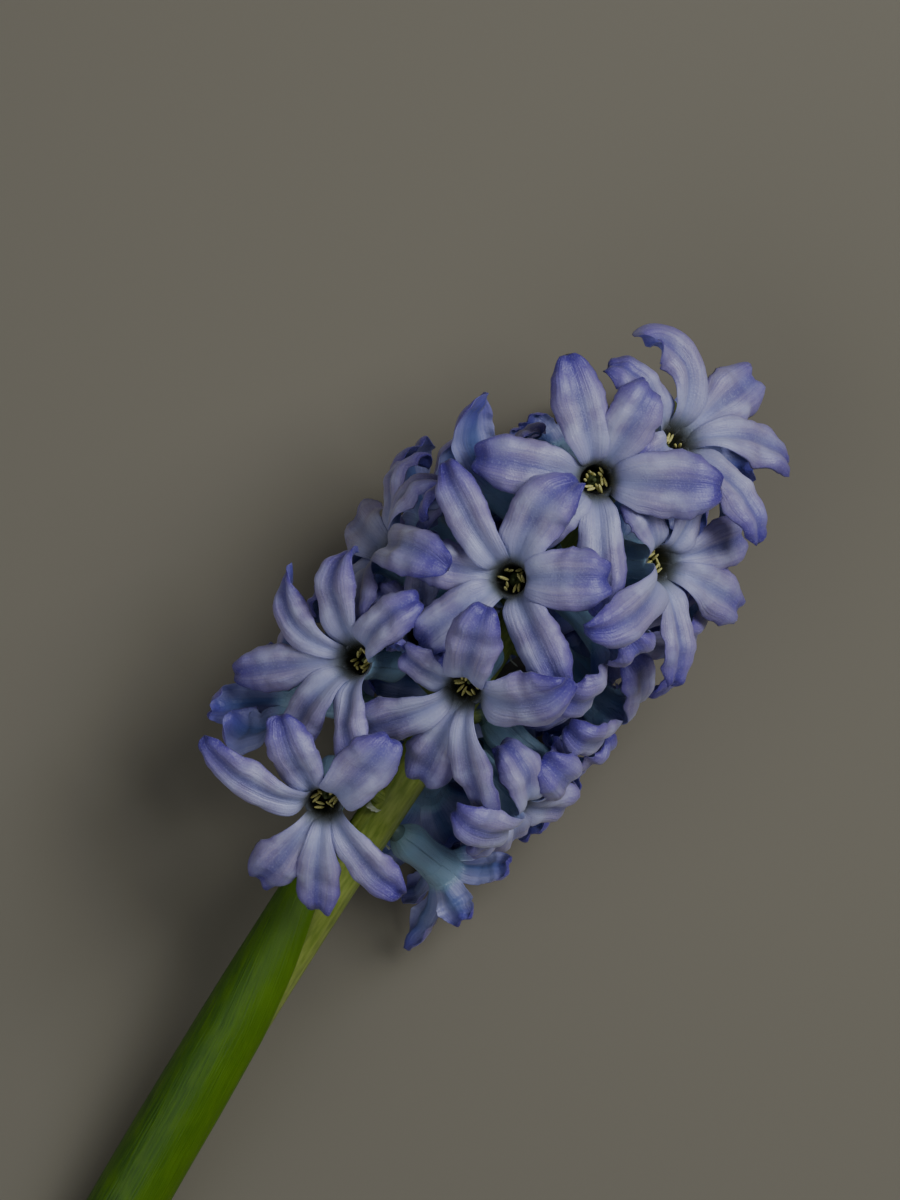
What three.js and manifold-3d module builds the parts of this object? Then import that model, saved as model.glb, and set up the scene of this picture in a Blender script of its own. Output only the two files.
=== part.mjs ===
// A cut stem of garden hyacinth in flower, lying on its side.
// Millimetres. +X runs along the stem from its cut end to the tip of the flower head, +Z is up, z = 0 is the
// surface that it lies on, and the origin is the centre of the footprint.
//
// The stem (scape) carries its florets on short stalks all round. Each floret is a swollen tube that opens
// into six tepals, with a pistil and six anthers standing in its throat. One strap leaf clasps the stem.
// Lengths along the stem ("along") are counted from the lowest florets, and angles round it ("round") from
// the top, towards +Y. All angles in the tables are in degrees.

import * as THREE from "three";
import { mergeVertices } from "three/addons/utils/BufferGeometryUtils.js";
import Module from "manifold-3d";

const wasm = await Module();
wasm.setup();

// ---- Stem ---------------------------------------------------------------------------------------
const CUT_AT = -102; // along the stem, of the cut end
const STEM_TIP_AT = 78;
const HEAD_HEIGHT = 25.5; // of the stem's centre line above the surface, in the flower head
const ARCH_FROM = 30; // from here back to the cut end the stem comes down to the surface
const CUT_RADIUS = 3.9;
const NECK_RADIUS = 3.5; // where the first florets leave
const TIP_RADIUS = 1.5;
const SIDE_BEND = 0.0004; // per mm, of the bow that the stem makes to one side
const STEM_SIDES = 12;
const PEDICEL_RADIUS = 1.2;
const PEDICEL_SIDES = 6;

// ---- Florets ------------------------------------------------------------------------------------
const TUBE_LENGTH = 12.5;
const BASE_RADIUS = 1.6;
const BELLY_RADIUS = 3.2;
const WAIST_RADIUS = 2.8;
const MOUTH_RADIUS = 3.4;
const THROAT_RADIUS = 2.5; // inside, at the mouth
const THROAT_DEPTH = 5;
const THROAT_FLOOR = 1.7; // radius of the throat's floor
const TEPALS = 6;
const TEPAL_LENGTH = 19.5;
const TEPAL_WIDTH = 8.8;
const TEPAL_THICK = 0.9;
const NEIGHBOUR = 0.95; // of its half of the way to the next tepal, that a tepal may take up
const FLARE = 20; // pitch of a tepal's root from the floret's axis
const STATIONS = [0.16, 0.33, 0.5, 0.66, 0.81, 0.93]; // cross-sections, as shares of a tepal's length
const FINE_STEPS = 24; // steps in which the midrib's curve is added up
const CLEARANCE = 0.2; // between the tepals of different florets
const SEAT_GAP = 0.3; // between pieces that touch
const ANTHER_RADIUS = 1.6;
const PISTIL_RADIUS = 0.8;

// Each floret: where the middle of its mouth is (along, round, and reach from the stem's centre line) and
// which way it faces (lean towards the tip of the stem, swing round the stem). Then its six tepals,
//   [angle round the floret from the stem's tip, length, width, open, tip, bend, twist]
// or turn, open and tip for all six, with chance variation. Open is the pitch at which a tepal spreads and
// tip is the pitch at its end, both from the floret's axis: 90 is flat open and 180 is rolled right back.
const FLORETS = [
  { name: "01", along: -4.2, round: 25, reach: 20.5, lean: -20, swing: -33, tepals: [
    [99, 22.5, 7.5, 76, 112, -35, 0], [55, 17.5, 9, 72, 150, 0, 0], [-7, 18.5, 10, 76, 122, 0, 0],
    [-106, 19, 7.5, 78, 125, 0, 0], [-150, 19, 8, 78, 125, 0, 0], [-184, 18.5, 9, 78, 140, 0, 0]] },
  { name: "02", along: 22.4, round: 1, reach: 23, lean: -34, swing: -3, tepals: [
    [148, 21, 8.5, 78, 110, 0, 0], [189, 20, 10, 80, 118, 0, 0], [222, 23, 8, 76, 140, 0, 30],
    [17, 19, 9.5, 68, 140, 0, 0], [-53, 20, 11, 72, 145, 45, 0], [95, 11, 7, 85, 150, 0, 0]] },
  { name: "03", along: 38.9, round: 10.6, reach: 24, lean: -9, swing: 4, tepals: [
    [65, 21, 8, 76, 115, -8, 0], [9, 20.5, 10.5, 74, 130, -38, 0], [-56, 17.5, 11, 74, 150, 0, 0],
    [-115, 20, 9, 76, 130, -10, 0], [159, 19, 8.5, 78, 125, 0, 0], [112, 16, 8.5, 80, 130, 0, 0]] },
  { name: "04", along: 59.3, round: 7.5, reach: 21.5, lean: 2, swing: -14, tepals: [
    [51, 20, 9.5, 76, 115, 0, 0], [7, 19, 9.5, 70, 145, 0, 20], [-57, 20, 12, 78, 125, 0, 0],
    [-143, 21.5, 8.5, 76, 125, 0, 35], [116, 21, 10, 78, 148, 0, 0], [165, 17, 8.5, 84, 130, 0, 0]] },
  { name: "05", along: 71.5, round: -10.5, reach: 19, lean: 44, swing: -8, tepals: [
    [20, 24, 8, 62, 110, 200, 0], [75, 17, 8.5, 75, 150, 10, 0], [-22, 22.5, 10.5, 78, 108, 0, 0],
    [-58, 24, 9, 76, 150, -20, 0], [-114, 21.5, 8, 74, 140, 0, 0], [152, 11, 7, 78, 150, 0, 0]] },
  { name: "06", along: 54.6, round: -36, reach: 22, lean: 19, swing: -4, tepals: [
    [62, 14, 7, 68, 190, 0, 0], [-45, 18.5, 9, 76, 125, 0, 0], [-86, 19, 9.5, 78, 122, 0, 0],
    [-146, 19.5, 7.5, 74, 130, 0, 0], [155, 23, 9, 72, 120, -28, 0], [5, 15, 8, 80, 155, 0, 0]] },
  { name: "07", along: 16.1, round: 47, reach: 23, lean: -12, swing: -16, tepals: [
    [98, 20.5, 7, 72, 128, -110, 0], [42, 19.5, 8.5, 60, 150, -45, 0], [128, 22, 8.5, 78, 115, 0, 0],
    [172, 19.5, 8.5, 78, 140, 0, 0], [-138, 18.5, 7.5, 66, 150, 0, 0], [-22, 17, 8.5, 85, 160, 0, 0]] },
  { name: "08", along: -7.5, round: -125, reach: 16.5, lean: -10, swing: -4, tepals: [
    [190, 15, 6.5, 50, 95, 0, 0], [120, 8, 7.5, 34, 90, 0, 0], [45, 11, 6.5, 60, 115, 0, 0],
    [-10, 12, 7, 52, 95, 0, 0], [-70, 12, 7, 52, 95, 0, 0], [-130, 13, 7, 52, 95, 0, 0]] },
  { name: "09", along: 3.8, round: 92, reach: 22, lean: -30, swing: 20, tepals: [
    [-105, 14.5, 7.5, 45, 60, -12, 0], [-45, 9, 7, 60, 110, 0, 0], [15, 15, 9, 75, 135, 0, 0],
    [75, 15, 9, 70, 125, 0, 0], [135, 16, 9, 70, 125, 0, 0], [-150, 14, 9.5, 50, 85, 130, 0]] },
  { name: "10", along: 31, round: 70, reach: 23, lean: 0, swing: 8, tepals: [
    [-80, 24, 9.5, 95, 155, 0, 0], [-18, 17.5, 8.5, 64, 170, 0, 0], [22, 20, 8.5, 56, 165, 0, 0],
    [84, 21, 10.5, 74, 105, 0, 0], [150, 15, 9, 72, 125, 0, 0], [215, 15, 8.5, 74, 135, 0, 0]] },
  { name: "11", along: 49.4, round: 48, reach: 18.8, lean: 12, swing: 43, tepals: [
    [-88, 20, 8.5, 34, 75, 80, 0], [-25, 12, 9, 60, 125, 0, 0], [35, 13, 9, 70, 125, 0, 0],
    [95, 15, 9, 70, 125, 0, 0], [155, 16, 9, 66, 130, 0, 0], [215, 16, 9, 60, 130, 0, 0]] },
  { name: "12", along: 50, round: 132, reach: 16.5, lean: -4, swing: 0, tepals: [
    [0, 11, 8, 46, 110, 0, 0], [60, 15, 8.5, 46, 110, 0, 0], [120, 17, 9, 46, 110, 0, 0],
    [180, 17, 9, 46, 110, 0, 0], [240, 13, 8.5, 46, 110, 0, 0], [300, 9, 7, 46, 110, 0, 0]] },
  { name: "13", along: 40.5, round: -49, reach: 17, lean: -12, swing: -27, tepals: [
    [190, 20, 9, 76, 120, 0, 0], [135, 20, 11, 45, 175, 0, 0], [78, 17, 9.5, 32, 160, 0, 0],
    [5, 17, 9, 66, 130, 0, 0], [-60, 17, 9, 60, 110, 0, 0], [-120, 17, 9, 70, 115, 0, 0]] },
  { name: "14", along: 31, round: -96, reach: 19.5, lean: -5, swing: 0, tepals: [
    [-5, 18, 8.5, 84, 172, 0, 0], [58, 20, 9, 96, 190, 0, 0], [115, 20, 9, 94, 188, 0, 0],
    [175, 18, 8.5, 84, 172, 0, 0], [238, 19, 9, 84, 172, 0, 0], [298, 18, 9, 84, 172, 0, 0]] },
  { name: "15", along: 17, round: -96, reach: 18, lean: -6, swing: 4, tepals: [
    [20, 12.5, 9, 88, 190, 0, 0], [82, 20, 9.5, 100, 200, 0, 0], [140, 17, 9, 88, 195, 0, 0],
    [200, 13, 9, 80, 165, 0, 0], [260, 17, 9, 78, 165, 0, 0], [-40, 12.5, 9, 80, 165, 0, 0]] },
  { name: "16", along: 10, round: -64, reach: 18.5, lean: -10, swing: -12, tepals: [
    [-12, 18, 9, 88, 190, 0, 0], [50, 20, 9, 98, 205, 0, 0], [112, 18, 9, 92, 205, 0, 0],
    [172, 10, 8, 74, 185, 0, 0], [235, 11, 8.5, 70, 180, 0, 0], [-66, 17, 9, 78, 165, 0, 0]] },
  { name: "17", along: 25, round: 36, reach: 18.5, lean: -5, swing: -4, tepals: [
    [20, 15, 8, 45, 80, 0, 0], [80, 13, 7, 30, 60, 0, 0], [145, 7, 6, 5, 5, 0, 0],
    [205, 9, 6, 10, 20, 0, 0], [265, 15, 8, 45, 90, 0, 0], [-40, 15, 8, 50, 90, 0, 0]] },
  { name: "18", along: 1, round: -168, reach: 19.5, lean: -22, swing: 0, turn: 0, open: 76, tip: 145 },
  { name: "19", along: 20, round: 126, reach: 22, lean: -12, swing: 0, turn: 30, open: 76, tip: 145 },
  { name: "20", along: 38, round: 116, reach: 21, lean: 0, swing: 0, turn: 0, open: 76, tip: 145 },
  { name: "21", along: 61, round: 158, reach: 20, lean: 4, swing: 4, tepals: [
    [33, 18, 9, 70, 150, 0, 0], [94, 19, 9.5, 70, 145, 0, 0], [150, 19, 9, 70, 150, 0, 0],
    [206, 17, 9, 70, 150, 0, 0], [274, 9, 7, 60, 150, 0, 0], [335, 10, 8, 60, 150, 0, 0]] },
  { name: "22", along: 17, round: 176, reach: 21, lean: -6, swing: 0, turn: 10, open: 76, tip: 145 },
  { name: "23", along: 38, round: 164, reach: 21, lean: 0, swing: 0, turn: 0, open: 76, tip: 145 },
  { name: "24", along: 53, round: -158, reach: 21, lean: 3, swing: 0, turn: 20, open: 76, tip: 145 },
  { name: "25", along: 69, round: -165, reach: 16.5, lean: 30, swing: 0, tepals: [
    [-2, 13, 8.5, 55, 110, 0, 0], [62, 15, 9, 60, 120, 0, 0], [120, 18, 9.5, 60, 120, 0, 0],
    [176, 18, 9, 60, 125, 0, 0], [240, 17, 9.5, 60, 120, 0, 0], [302, 13, 8.5, 55, 110, 0, 0]] },
  { name: "26", along: 12, round: -134, reach: 22, lean: -4, swing: 0, tepals: [
    [-2, 17, 9, 76, 145, 0, 0], [57, 12, 9, 76, 150, 0, 0], [122, 10.5, 8.5, 76, 150, 0, 0],
    [178, 13, 9, 76, 145, 0, 0], [239, 17, 9, 76, 150, 0, 0], [302, 17, 9, 76, 140, 0, 0]] },
  { name: "27", along: 33, round: -138, reach: 22, lean: 0, swing: 0, turn: 40, open: 76, tip: 145 },
  { name: "28", along: 54, round: -98, reach: 19, lean: 14, swing: 0, turn: 0, open: 76, tip: 145 },
];

// A tepal that would cross what is already there takes the first of these that is clear: changes to its
// open, tip and bend, and a share of its length.
const SHARES = [1, 0.9, 0.8, 0.7, 0.6, 0.5, 0.4];
const SMALL_CHANGES = [
  [0, 0, 0], [-9, 0, 0], [9, 0, 0], [0, 0, 14], [0, 0, -14], [-18, -10, 0], [18, 20, 0],
];
const LARGE_CHANGES = [
  [-9, 0, 24], [-9, 0, -24], [9, 20, 24], [9, 20, -24],
  [-30, -30, 0], [30, 30, 0], [-45, -60, 0], [45, 50, 0],
];
const DODGES = [SMALL_CHANGES, LARGE_CHANGES].flatMap((changes) =>
  SHARES.flatMap((share) => changes.map((change) => [...change, share])),
);

// ---- Leaf ---------------------------------------------------------------------------------------
const LEAF_THICK = 1.2;
const LEAF_STANDOFF = 2.2; // how much further from the stem its far side stands
// [along, first edge, last edge]: how far round the stem the leaf reaches
const LEAF_SPAN = [
  [CUT_AT, -80, 115],
  [-80, -78, 118],
  [-60, -70, 120],
  [-45, -55, 122],
  [-32, -25, 124],
  [-20, 8, 124],
  [-10, 40, 122],
  [-3, 70, 118],
];
const LEAF_TIP = [3, 98];
const LEAF_PANELS = 8;

// ---- Small helpers ------------------------------------------------------------------------------
const rad = (degrees) => (degrees * Math.PI) / 180;
const mix = (a, b, t) => a + (b - a) * t;
const clamp = (t) => Math.min(1, Math.max(0, t));
const ease = (t) => clamp(t) ** 2 * (3 - 2 * clamp(t));

// The same number from -1 to 1 for the same pair every time.
const chance = (i, j) => {
  const s = Math.sin(i * 12.9898 + j * 78.233) * 43758.5453;
  return 2 * (s - Math.floor(s)) - 1;
};

// A closed solid from points and the faces between them. Faces are split from their first corner.
function toSolid(points, faces) {
  const geometry = new THREE.BufferGeometry();
  geometry.setAttribute("position", new THREE.Float32BufferAttribute(points.flatMap((p) => p.toArray()), 3));
  geometry.setIndex(faces.flatMap((f) => f.slice(2).flatMap((last, i) => [f[0], f[i + 1], last])));
  const merged = mergeVertices(geometry, 1e-4);
  return new wasm.Manifold(
    new wasm.Mesh({
      numProp: 3,
      vertProperties: merged.attributes.position.array,
      triVerts: new Uint32Array(merged.index.array),
    }),
  );
}

// A closed solid through rings of points, each with the same number of them, counterclockwise seen from the
// last ring. A last ring of one point closes it to a tip.
function loft(rings) {
  const n = rings[0].length;
  const last = rings.length - 1;
  const faces = [];
  for (let r = 0; r < last; r++) {
    const [a, b] = [r * n, (r + 1) * n];
    for (let i = 0; i < n; i++) {
      const j = (i + 1) % n;
      faces.push(rings[r + 1].length === 1 ? [a + i, a + j, b] : [a + i, a + j, b + j, b + i]);
    }
  }
  faces.push(rings[0].map((_, i) => n - 1 - i));
  if (rings[last].length > 1) faces.push(rings[last].map((_, i) => last * n + i));
  return toSolid(rings.flat(), faces);
}

const ringOf = (sides, pointAt) => Array.from({ length: sides }, (_, i) => pointAt((360 * i) / sides, i));

// ---- The stem's centre line ---------------------------------------------------------------------
function stemCentre(along) {
  const back = Math.max(0, (ARCH_FROM - along) / (ARCH_FROM - CUT_AT));
  const y = 0.5 - SIDE_BEND * (along - 25) ** 2;
  const z = HEAD_HEIGHT - (HEAD_HEIGHT - CUT_RADIUS) * back ** 1.5;
  return new THREE.Vector3(along, y, z);
}

// The stem's own directions at a place along it: forward to the tip, up, and to the side.
function stemFrame(along) {
  const forward = stemCentre(along + 0.5).sub(stemCentre(along - 0.5)).normalize();
  const side = new THREE.Vector3(0, 0, 1).cross(forward).normalize();
  const up = forward.clone().cross(side).normalize();
  return { centre: stemCentre(along), forward, side, up };
}

// Away from the stem, at an angle round it.
const outward = (stem, round) =>
  stem.up.clone().multiplyScalar(Math.cos(rad(round))).addScaledVector(stem.side, Math.sin(rad(round)));

const stemRadius = (along) =>
  along < 0
    ? mix(CUT_RADIUS, NECK_RADIUS, (along - CUT_AT) / -CUT_AT)
    : mix(NECK_RADIUS, TIP_RADIUS, ease(along / STEM_TIP_AT));

// ---- A floret's place and directions ------------------------------------------------------------
function floretFrame(f) {
  const stem = stemFrame(f.along);
  const mouth = stem.centre.clone().addScaledVector(outward(stem, f.round), f.reach);
  const axis = outward(stem, f.round + f.swing)
    .multiplyScalar(Math.cos(rad(f.lean)))
    .addScaledVector(stem.forward, Math.sin(rad(f.lean)));
  const zero = stem.forward.clone().addScaledVector(axis, -stem.forward.dot(axis)).normalize();
  const quarter = axis.clone().cross(zero);
  return { mouth, axis, zero, quarter };
}

// A point beside the floret's axis, at an angle round it from the stem's tip and a height above the mouth.
const inFloret = (frame, radius, angle, depth) =>
  frame.mouth
    .clone()
    .addScaledVector(frame.zero, radius * Math.cos(rad(angle)))
    .addScaledVector(frame.quarter, radius * Math.sin(rad(angle)))
    .addScaledVector(frame.axis, depth);

// ---- Tepals -------------------------------------------------------------------------------------
// The six tepals of a floret, in order round it. Inner tepals (odd ones) are broader and open a little less.
function tepalShapes(f, number) {
  const rows =
    f.tepals ??
    Array.from({ length: TEPALS }, (_, k) => {
      const side = k % 2 ? 1 : -1;
      return [
        f.turn + (360 / TEPALS) * k + 6 * chance(number, k),
        TEPAL_LENGTH * (1 + 0.06 * chance(number, k + 10)),
        TEPAL_WIDTH * (1 + 0.06 * side),
        f.open - 4 * side + 6 * chance(number, k + 20),
        f.tip - 6 * side + 14 * chance(number, k + 30),
        10 * chance(number, k + 40),
        18 * chance(number, k + 50),
      ];
    });
  const named = ([angle, length, width, open, tip, bend, twist]) =>
    ({ angle, length, width, open, tip, bend, twist });
  const shapes = rows.map(named).sort((a, b) => a.angle - b.angle);
  shapes.forEach((shape, k) => {
    const before = shape.angle - (k ? shapes[k - 1].angle : shapes[TEPALS - 1].angle - 360);
    const after = (k + 1 < TEPALS ? shapes[k + 1].angle : shapes[0].angle + 360) - shape.angle;
    shape.room = Math.min(before, after) / 2;
  });
  return shapes;
}

const dodged = (shape, [open, tip, bend, share]) => ({
  ...shape,
  open: shape.open + open,
  tip: shape.tip + tip,
  bend: shape.bend + bend,
  length: shape.length * share,
});

const tepalHalfWidth = (shape, t) => {
  const opening = mix(0.6, 1, ease(t / 0.6));
  const closing = (1 - clamp((t - 0.5) / 0.5) ** 2.4) ** 0.7;
  return (shape.width / 2) * opening * closing;
};

// The midrib's place at share t of the tepal's length, its directions forward and across, and its face,
// which is the side that the throat sees.
function tepalLine(frame, shape, t) {
  const out = inFloret(frame, 1, shape.angle, 0).sub(frame.mouth);
  const across = frame.axis.clone().cross(out);
  const point = inFloret(frame, (MOUTH_RADIUS + THROAT_RADIUS) / 2, shape.angle, 0);
  const steps = Math.round(FINE_STEPS * t);
  const at = (u) => {
    const spread = FLARE + (shape.open - FLARE) * ease(u / 0.34);
    const pitch = rad(spread + (shape.tip - shape.open) * clamp((u - 0.3) / 0.7) ** 1.5);
    const yaw = rad(shape.bend * u * u);
    const roll = rad(shape.twist * u * u);
    const ahead = frame.axis.clone().multiplyScalar(Math.cos(pitch)).addScaledVector(out, Math.sin(pitch));
    const face = frame.axis.clone().multiplyScalar(Math.sin(pitch)).addScaledVector(out, -Math.cos(pitch));
    const aside = across.clone().multiplyScalar(Math.cos(yaw)).addScaledVector(ahead, -Math.sin(yaw));
    return {
      forward: ahead.multiplyScalar(Math.cos(yaw)).addScaledVector(across, Math.sin(yaw)),
      across: aside.clone().multiplyScalar(Math.cos(roll)).addScaledVector(face, Math.sin(roll)),
      face: face.multiplyScalar(Math.cos(roll)).addScaledVector(aside, -Math.sin(roll)),
    };
  };
  for (let i = 0; i < steps; i++) {
    point.addScaledVector(at((t * (i + 0.5)) / steps).forward, (shape.length * t) / steps);
  }
  return { point, ...at(t) };
}

// Distance from the floret's axis.
const fromAxis = (frame, point) => point.clone().sub(frame.mouth).cross(frame.axis).length();

// The tepal's cross-section there: a flat diamond, with its edges curved to the front near the throat and a
// little to the back further out. Where it would go under the surface, it lies on it.
function tepalSection(frame, shape, t) {
  const { point, across, face } = tepalLine(frame, shape, t);
  const shared = fromAxis(frame, point) * Math.sin(rad(shape.room)) * NEIGHBOUR;
  const half = Math.min(tepalHalfWidth(shape, t), shared);
  const cup = half * mix(0.3, -0.2, ease(t / 0.5));
  const ring = [
    point.clone().addScaledVector(across, -half).addScaledVector(face, cup),
    point.clone().addScaledVector(face, -TEPAL_THICK / 2),
    point.clone().addScaledVector(across, half).addScaledVector(face, cup),
    point.clone().addScaledVector(face, TEPAL_THICK / 2),
  ];
  const lift = Math.max(0, -Math.min(...ring.map((p) => p.z)));
  ring.forEach((p) => (p.z += lift));
  return ring;
}

function tepalTip(frame, shape) {
  const tip = tepalLine(frame, shape, 1).point;
  tip.z = Math.max(tip.z, TEPAL_THICK / 2);
  return tip;
}

// The faces between two of its cross-sections, split alike on its front and its back.
const tepalFaces = (a, b) => [
  [a, a + 1, b + 1, b],
  [a + 2, b + 2, b + 1, a + 1],
  [a + 2, a + 3, b + 3, b + 2],
  [a, b, b + 3, a + 3],
];
const tipFaces = (a, tip) => [0, 1, 2, 3].map((i) => [a + i, a + ((i + 1) % 4), tip]);

// The tepal alone, to test what it would cross.
function tepalSolid(frame, shape) {
  const rings = STATIONS.map((t) => tepalSection(frame, shape, t));
  const points = [...rings.flat(), tepalTip(frame, shape)];
  const faces = [[3, 2, 1, 0]];
  for (let r = 0; r + 1 < rings.length; r++) faces.push(...tepalFaces(4 * r, 4 * r + 4));
  faces.push(...tipFaces(points.length - 5, points.length - 1));
  return toSolid(points, faces);
}

// ---- Floret -------------------------------------------------------------------------------------
// Twelve corners round the tube: the middle of each tepal and the seam to the next.
function tubeAngles(shapes) {
  return shapes.flatMap(({ angle }, k) => {
    const next = k + 1 < TEPALS ? shapes[k + 1].angle : shapes[0].angle + 360;
    return [angle, (angle + next) / 2];
  });
}

// [radius, height above the mouth]
const TUBE_OUTSIDE = [
  [BASE_RADIUS, -TUBE_LENGTH],
  [BELLY_RADIUS, -TUBE_LENGTH + 3],
  [WAIST_RADIUS, -5],
  [MOUTH_RADIUS, 0],
];
const ROOT_RIM = [5.6, 3.4]; // where the tepals' roots have opened to
const TUBE_INSIDE = [
  [THROAT_RADIUS, 0],
  [THROAT_FLOOR, -THROAT_DEPTH],
];

// The room that a floret's tube and the roots of its tepals take, to test what would cross them.
const tubeRoom = (frame, shapes) =>
  loft([...TUBE_OUTSIDE, ROOT_RIM].map(([r, z]) => tubeAngles(shapes).map((a) => inFloret(frame, r, a, z))));

// Tube and tepals in one skin: the tube's wall runs on into each tepal.
function floretSolid(frame, shapes) {
  const angles = tubeAngles(shapes);
  const n = angles.length;
  const ring = ([r, z]) => angles.map((a) => inFloret(frame, r, a, z));
  const points = [...TUBE_OUTSIDE, ...TUBE_INSIDE].flatMap(ring);
  const faces = [angles.map((_, i) => n - 1 - i)];
  const mouth = (TUBE_OUTSIDE.length - 1) * n;
  for (let a = 0; a <= mouth + n; a += n) {
    if (a === mouth) continue;
    for (let i = 0; i < n; i++) {
      const j = (i + 1) % n;
      faces.push([a + i, a + j, a + n + j, a + n + i]);
    }
  }
  faces.push(angles.map((_, i) => mouth + 2 * n + i));
  shapes.forEach((shape, k) => {
    const [before, middle, after] = [(2 * k + n - 1) % n, 2 * k, 2 * k + 1].map((i) => mouth + i);
    let a = points.length;
    points.push(...tepalSection(frame, shape, STATIONS[0]));
    faces.push([before, middle, a + 1, a], [after, a + 2, a + 1, middle]);
    faces.push([after + n, middle + n, a + 3, a + 2], [before + n, a, a + 3, middle + n]);
    faces.push([after, after + n, a + 2], [before + n, before, a]);
    for (const t of STATIONS.slice(1)) {
      points.push(...tepalSection(frame, shape, t));
      faces.push(...tepalFaces(a, a + 4));
      a += 4;
    }
    points.push(tepalTip(frame, shape));
    faces.push(...tipFaces(a, a + 4));
  });
  return toSolid(points, faces);
}

// Pistil and anthers as one star, standing just clear of the throat's floor.
function stamensSolid(frame, shapes) {
  const star = (r, notch, z) =>
    ringOf(2 * TEPALS, (a, i) => inFloret(frame, i % 2 ? notch : r, shapes[0].angle + a, z));
  return loft([
    star(PISTIL_RADIUS, PISTIL_RADIUS, -THROAT_DEPTH + SEAT_GAP),
    star(ANTHER_RADIUS, PISTIL_RADIUS, -2.6),
    star(ANTHER_RADIUS - 0.2, PISTIL_RADIUS, -0.9),
    [inFloret(frame, 0, 0, -0.7)],
  ]);
}

// ---- Scape --------------------------------------------------------------------------------------
function stemSolid() {
  const places = [CUT_AT, -85, -68, -51, -34, -17, 0, 12, 25, 38, 51, 64, 72];
  const rings = places.map((along) => {
    const stem = stemFrame(along);
    const pointAt = (a) => stem.centre.clone().addScaledVector(outward(stem, -a), stemRadius(along));
    return ringOf(STEM_SIDES, pointAt);
  });
  return loft([...rings, [stemCentre(STEM_TIP_AT)]]);
}

// A floret's stalk: it leaves the stem squarely and bends to meet the floret's base.
function pedicelSolid(f, frame) {
  const base = frame.mouth.clone().addScaledVector(frame.axis, -TUBE_LENGTH - SEAT_GAP);
  const foot = stemFrame(base.x - 2 - 5 * Math.sin(rad(f.lean)));
  const radial = outward(foot, f.round);
  const from = foot.centre.clone().addScaledVector(radial, stemRadius(foot.centre.x) * 0.4);
  const line = new THREE.CubicBezierCurve3(
    from,
    from.clone().addScaledVector(radial, 4),
    base.clone().addScaledVector(frame.axis, -2.5),
    base,
  );
  const rings = [0, 0.5, 0.8, 1].map((t) => {
    const along = t === 1 ? frame.axis : line.getTangent(t);
    const a = frame.quarter.clone().addScaledVector(along, -frame.quarter.dot(along)).normalize();
    const b = along.clone().cross(a);
    return ringOf(PEDICEL_SIDES, (angle) =>
      line
        .getPoint(t)
        .addScaledVector(a, PEDICEL_RADIUS * Math.cos(rad(angle)))
        .addScaledVector(b, PEDICEL_RADIUS * Math.sin(rad(angle))),
    );
  });
  return loft(rings);
}

// ---- Leaf ---------------------------------------------------------------------------------------
function leafPoint(along, round, lift) {
  const stem = stemFrame(along);
  const clasp = stemRadius(along) + SEAT_GAP + LEAF_STANDOFF * ease((Math.sin(rad(round)) + 1) / 2);
  return stem.centre.clone().addScaledVector(outward(stem, round), clasp + lift);
}

function leafSolid() {
  const rings = LEAF_SPAN.map(([along, first, last]) => {
    const at = (j, lift) => leafPoint(along, mix(first, last, j / LEAF_PANELS), lift);
    const inside = Array.from({ length: LEAF_PANELS + 1 }, (_, j) => at(j, 0));
    const outside = Array.from({ length: LEAF_PANELS - 1 }, (_, j) => at(LEAF_PANELS - 1 - j, LEAF_THICK));
    return [...inside, ...outside];
  });
  return loft([...rings, [leafPoint(...LEAF_TIP, LEAF_THICK / 2)]]);
}

// ---- Build --------------------------------------------------------------------------------------
const frames = FLORETS.map(floretFrame);
const wished = FLORETS.map(tepalShapes);
const stalks = FLORETS.map((f, i) => pedicelSolid(f, frames[i]));
const scape = wasm.Manifold.union([stemSolid(), ...stalks]);
const leaf = leafSolid();
const rooms = frames.map((frame, i) => tubeRoom(frame, wished[i]));
const stamens = frames.map((frame, i) => stamensSolid(frame, wished[i]));

// Tepals take their places one after another, each clear of all that is already there.
const standing = [scape, leaf, ...rooms, ...stamens].map((solid) => ({ solid, box: solid.boundingBox() }));
// Whether two boxes are closer than a gap.
const near = (a, b, gap) => [0, 1, 2].every((i) => a.min[i] - gap < b.max[i] && b.min[i] - gap < a.max[i]);

// The tepal as it stands: the first of its dodges that keeps clear of all but its own floret's tube. Tepals
// of one floret meet at their roots, so they only have to stay out of each other.
function placed(frame, shape, own) {
  for (const dodge of DODGES) {
    const tried = dodged(shape, dodge);
    const solid = tepalSolid(frame, tried);
    const box = solid.boundingBox();
    const clear = standing.every(
      (other) =>
        own.includes(other) ||
        !near(box, other.box, CLEARANCE) ||
        solid.minGap(other.solid, 1) > (other.frame === frame ? 0 : CLEARANCE),
    );
    if (clear) {
      standing.push({ solid, box, frame });
      return tried;
    }
  }
  throw new Error("no clear place for a tepal");
}

const florets = FLORETS.map((f, i) => {
  const own = standing.filter((other) => other.solid === rooms[i]);
  return floretSolid(frames[i], wished[i].map((shape) => placed(frames[i], shape, own)));
});

const SCAPE_GREEN = new THREE.MeshStandardMaterial({ color: "#8a9a4a", roughness: 0.5 });
const LEAF_GREEN = new THREE.MeshStandardMaterial({ color: "#4a6a1e", roughness: 0.5 });
const TEPAL_BLUE = new THREE.MeshStandardMaterial({ color: "#8f93cc", roughness: 0.6 });
const ANTHER_YELLOW = new THREE.MeshStandardMaterial({ color: "#d8cf8a", roughness: 0.8 });

const head = new THREE.Group();

function add(name, solid, material) {
  const mesh = solid.getMesh();
  const geometry = new THREE.BufferGeometry();
  geometry.setAttribute("position", new THREE.BufferAttribute(Float32Array.from(mesh.vertProperties), 3));
  geometry.setIndex(new THREE.BufferAttribute(Uint32Array.from(mesh.triVerts), 1));
  const piece = new THREE.Mesh(geometry, material);
  piece.name = name;
  head.add(piece);
}

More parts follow.
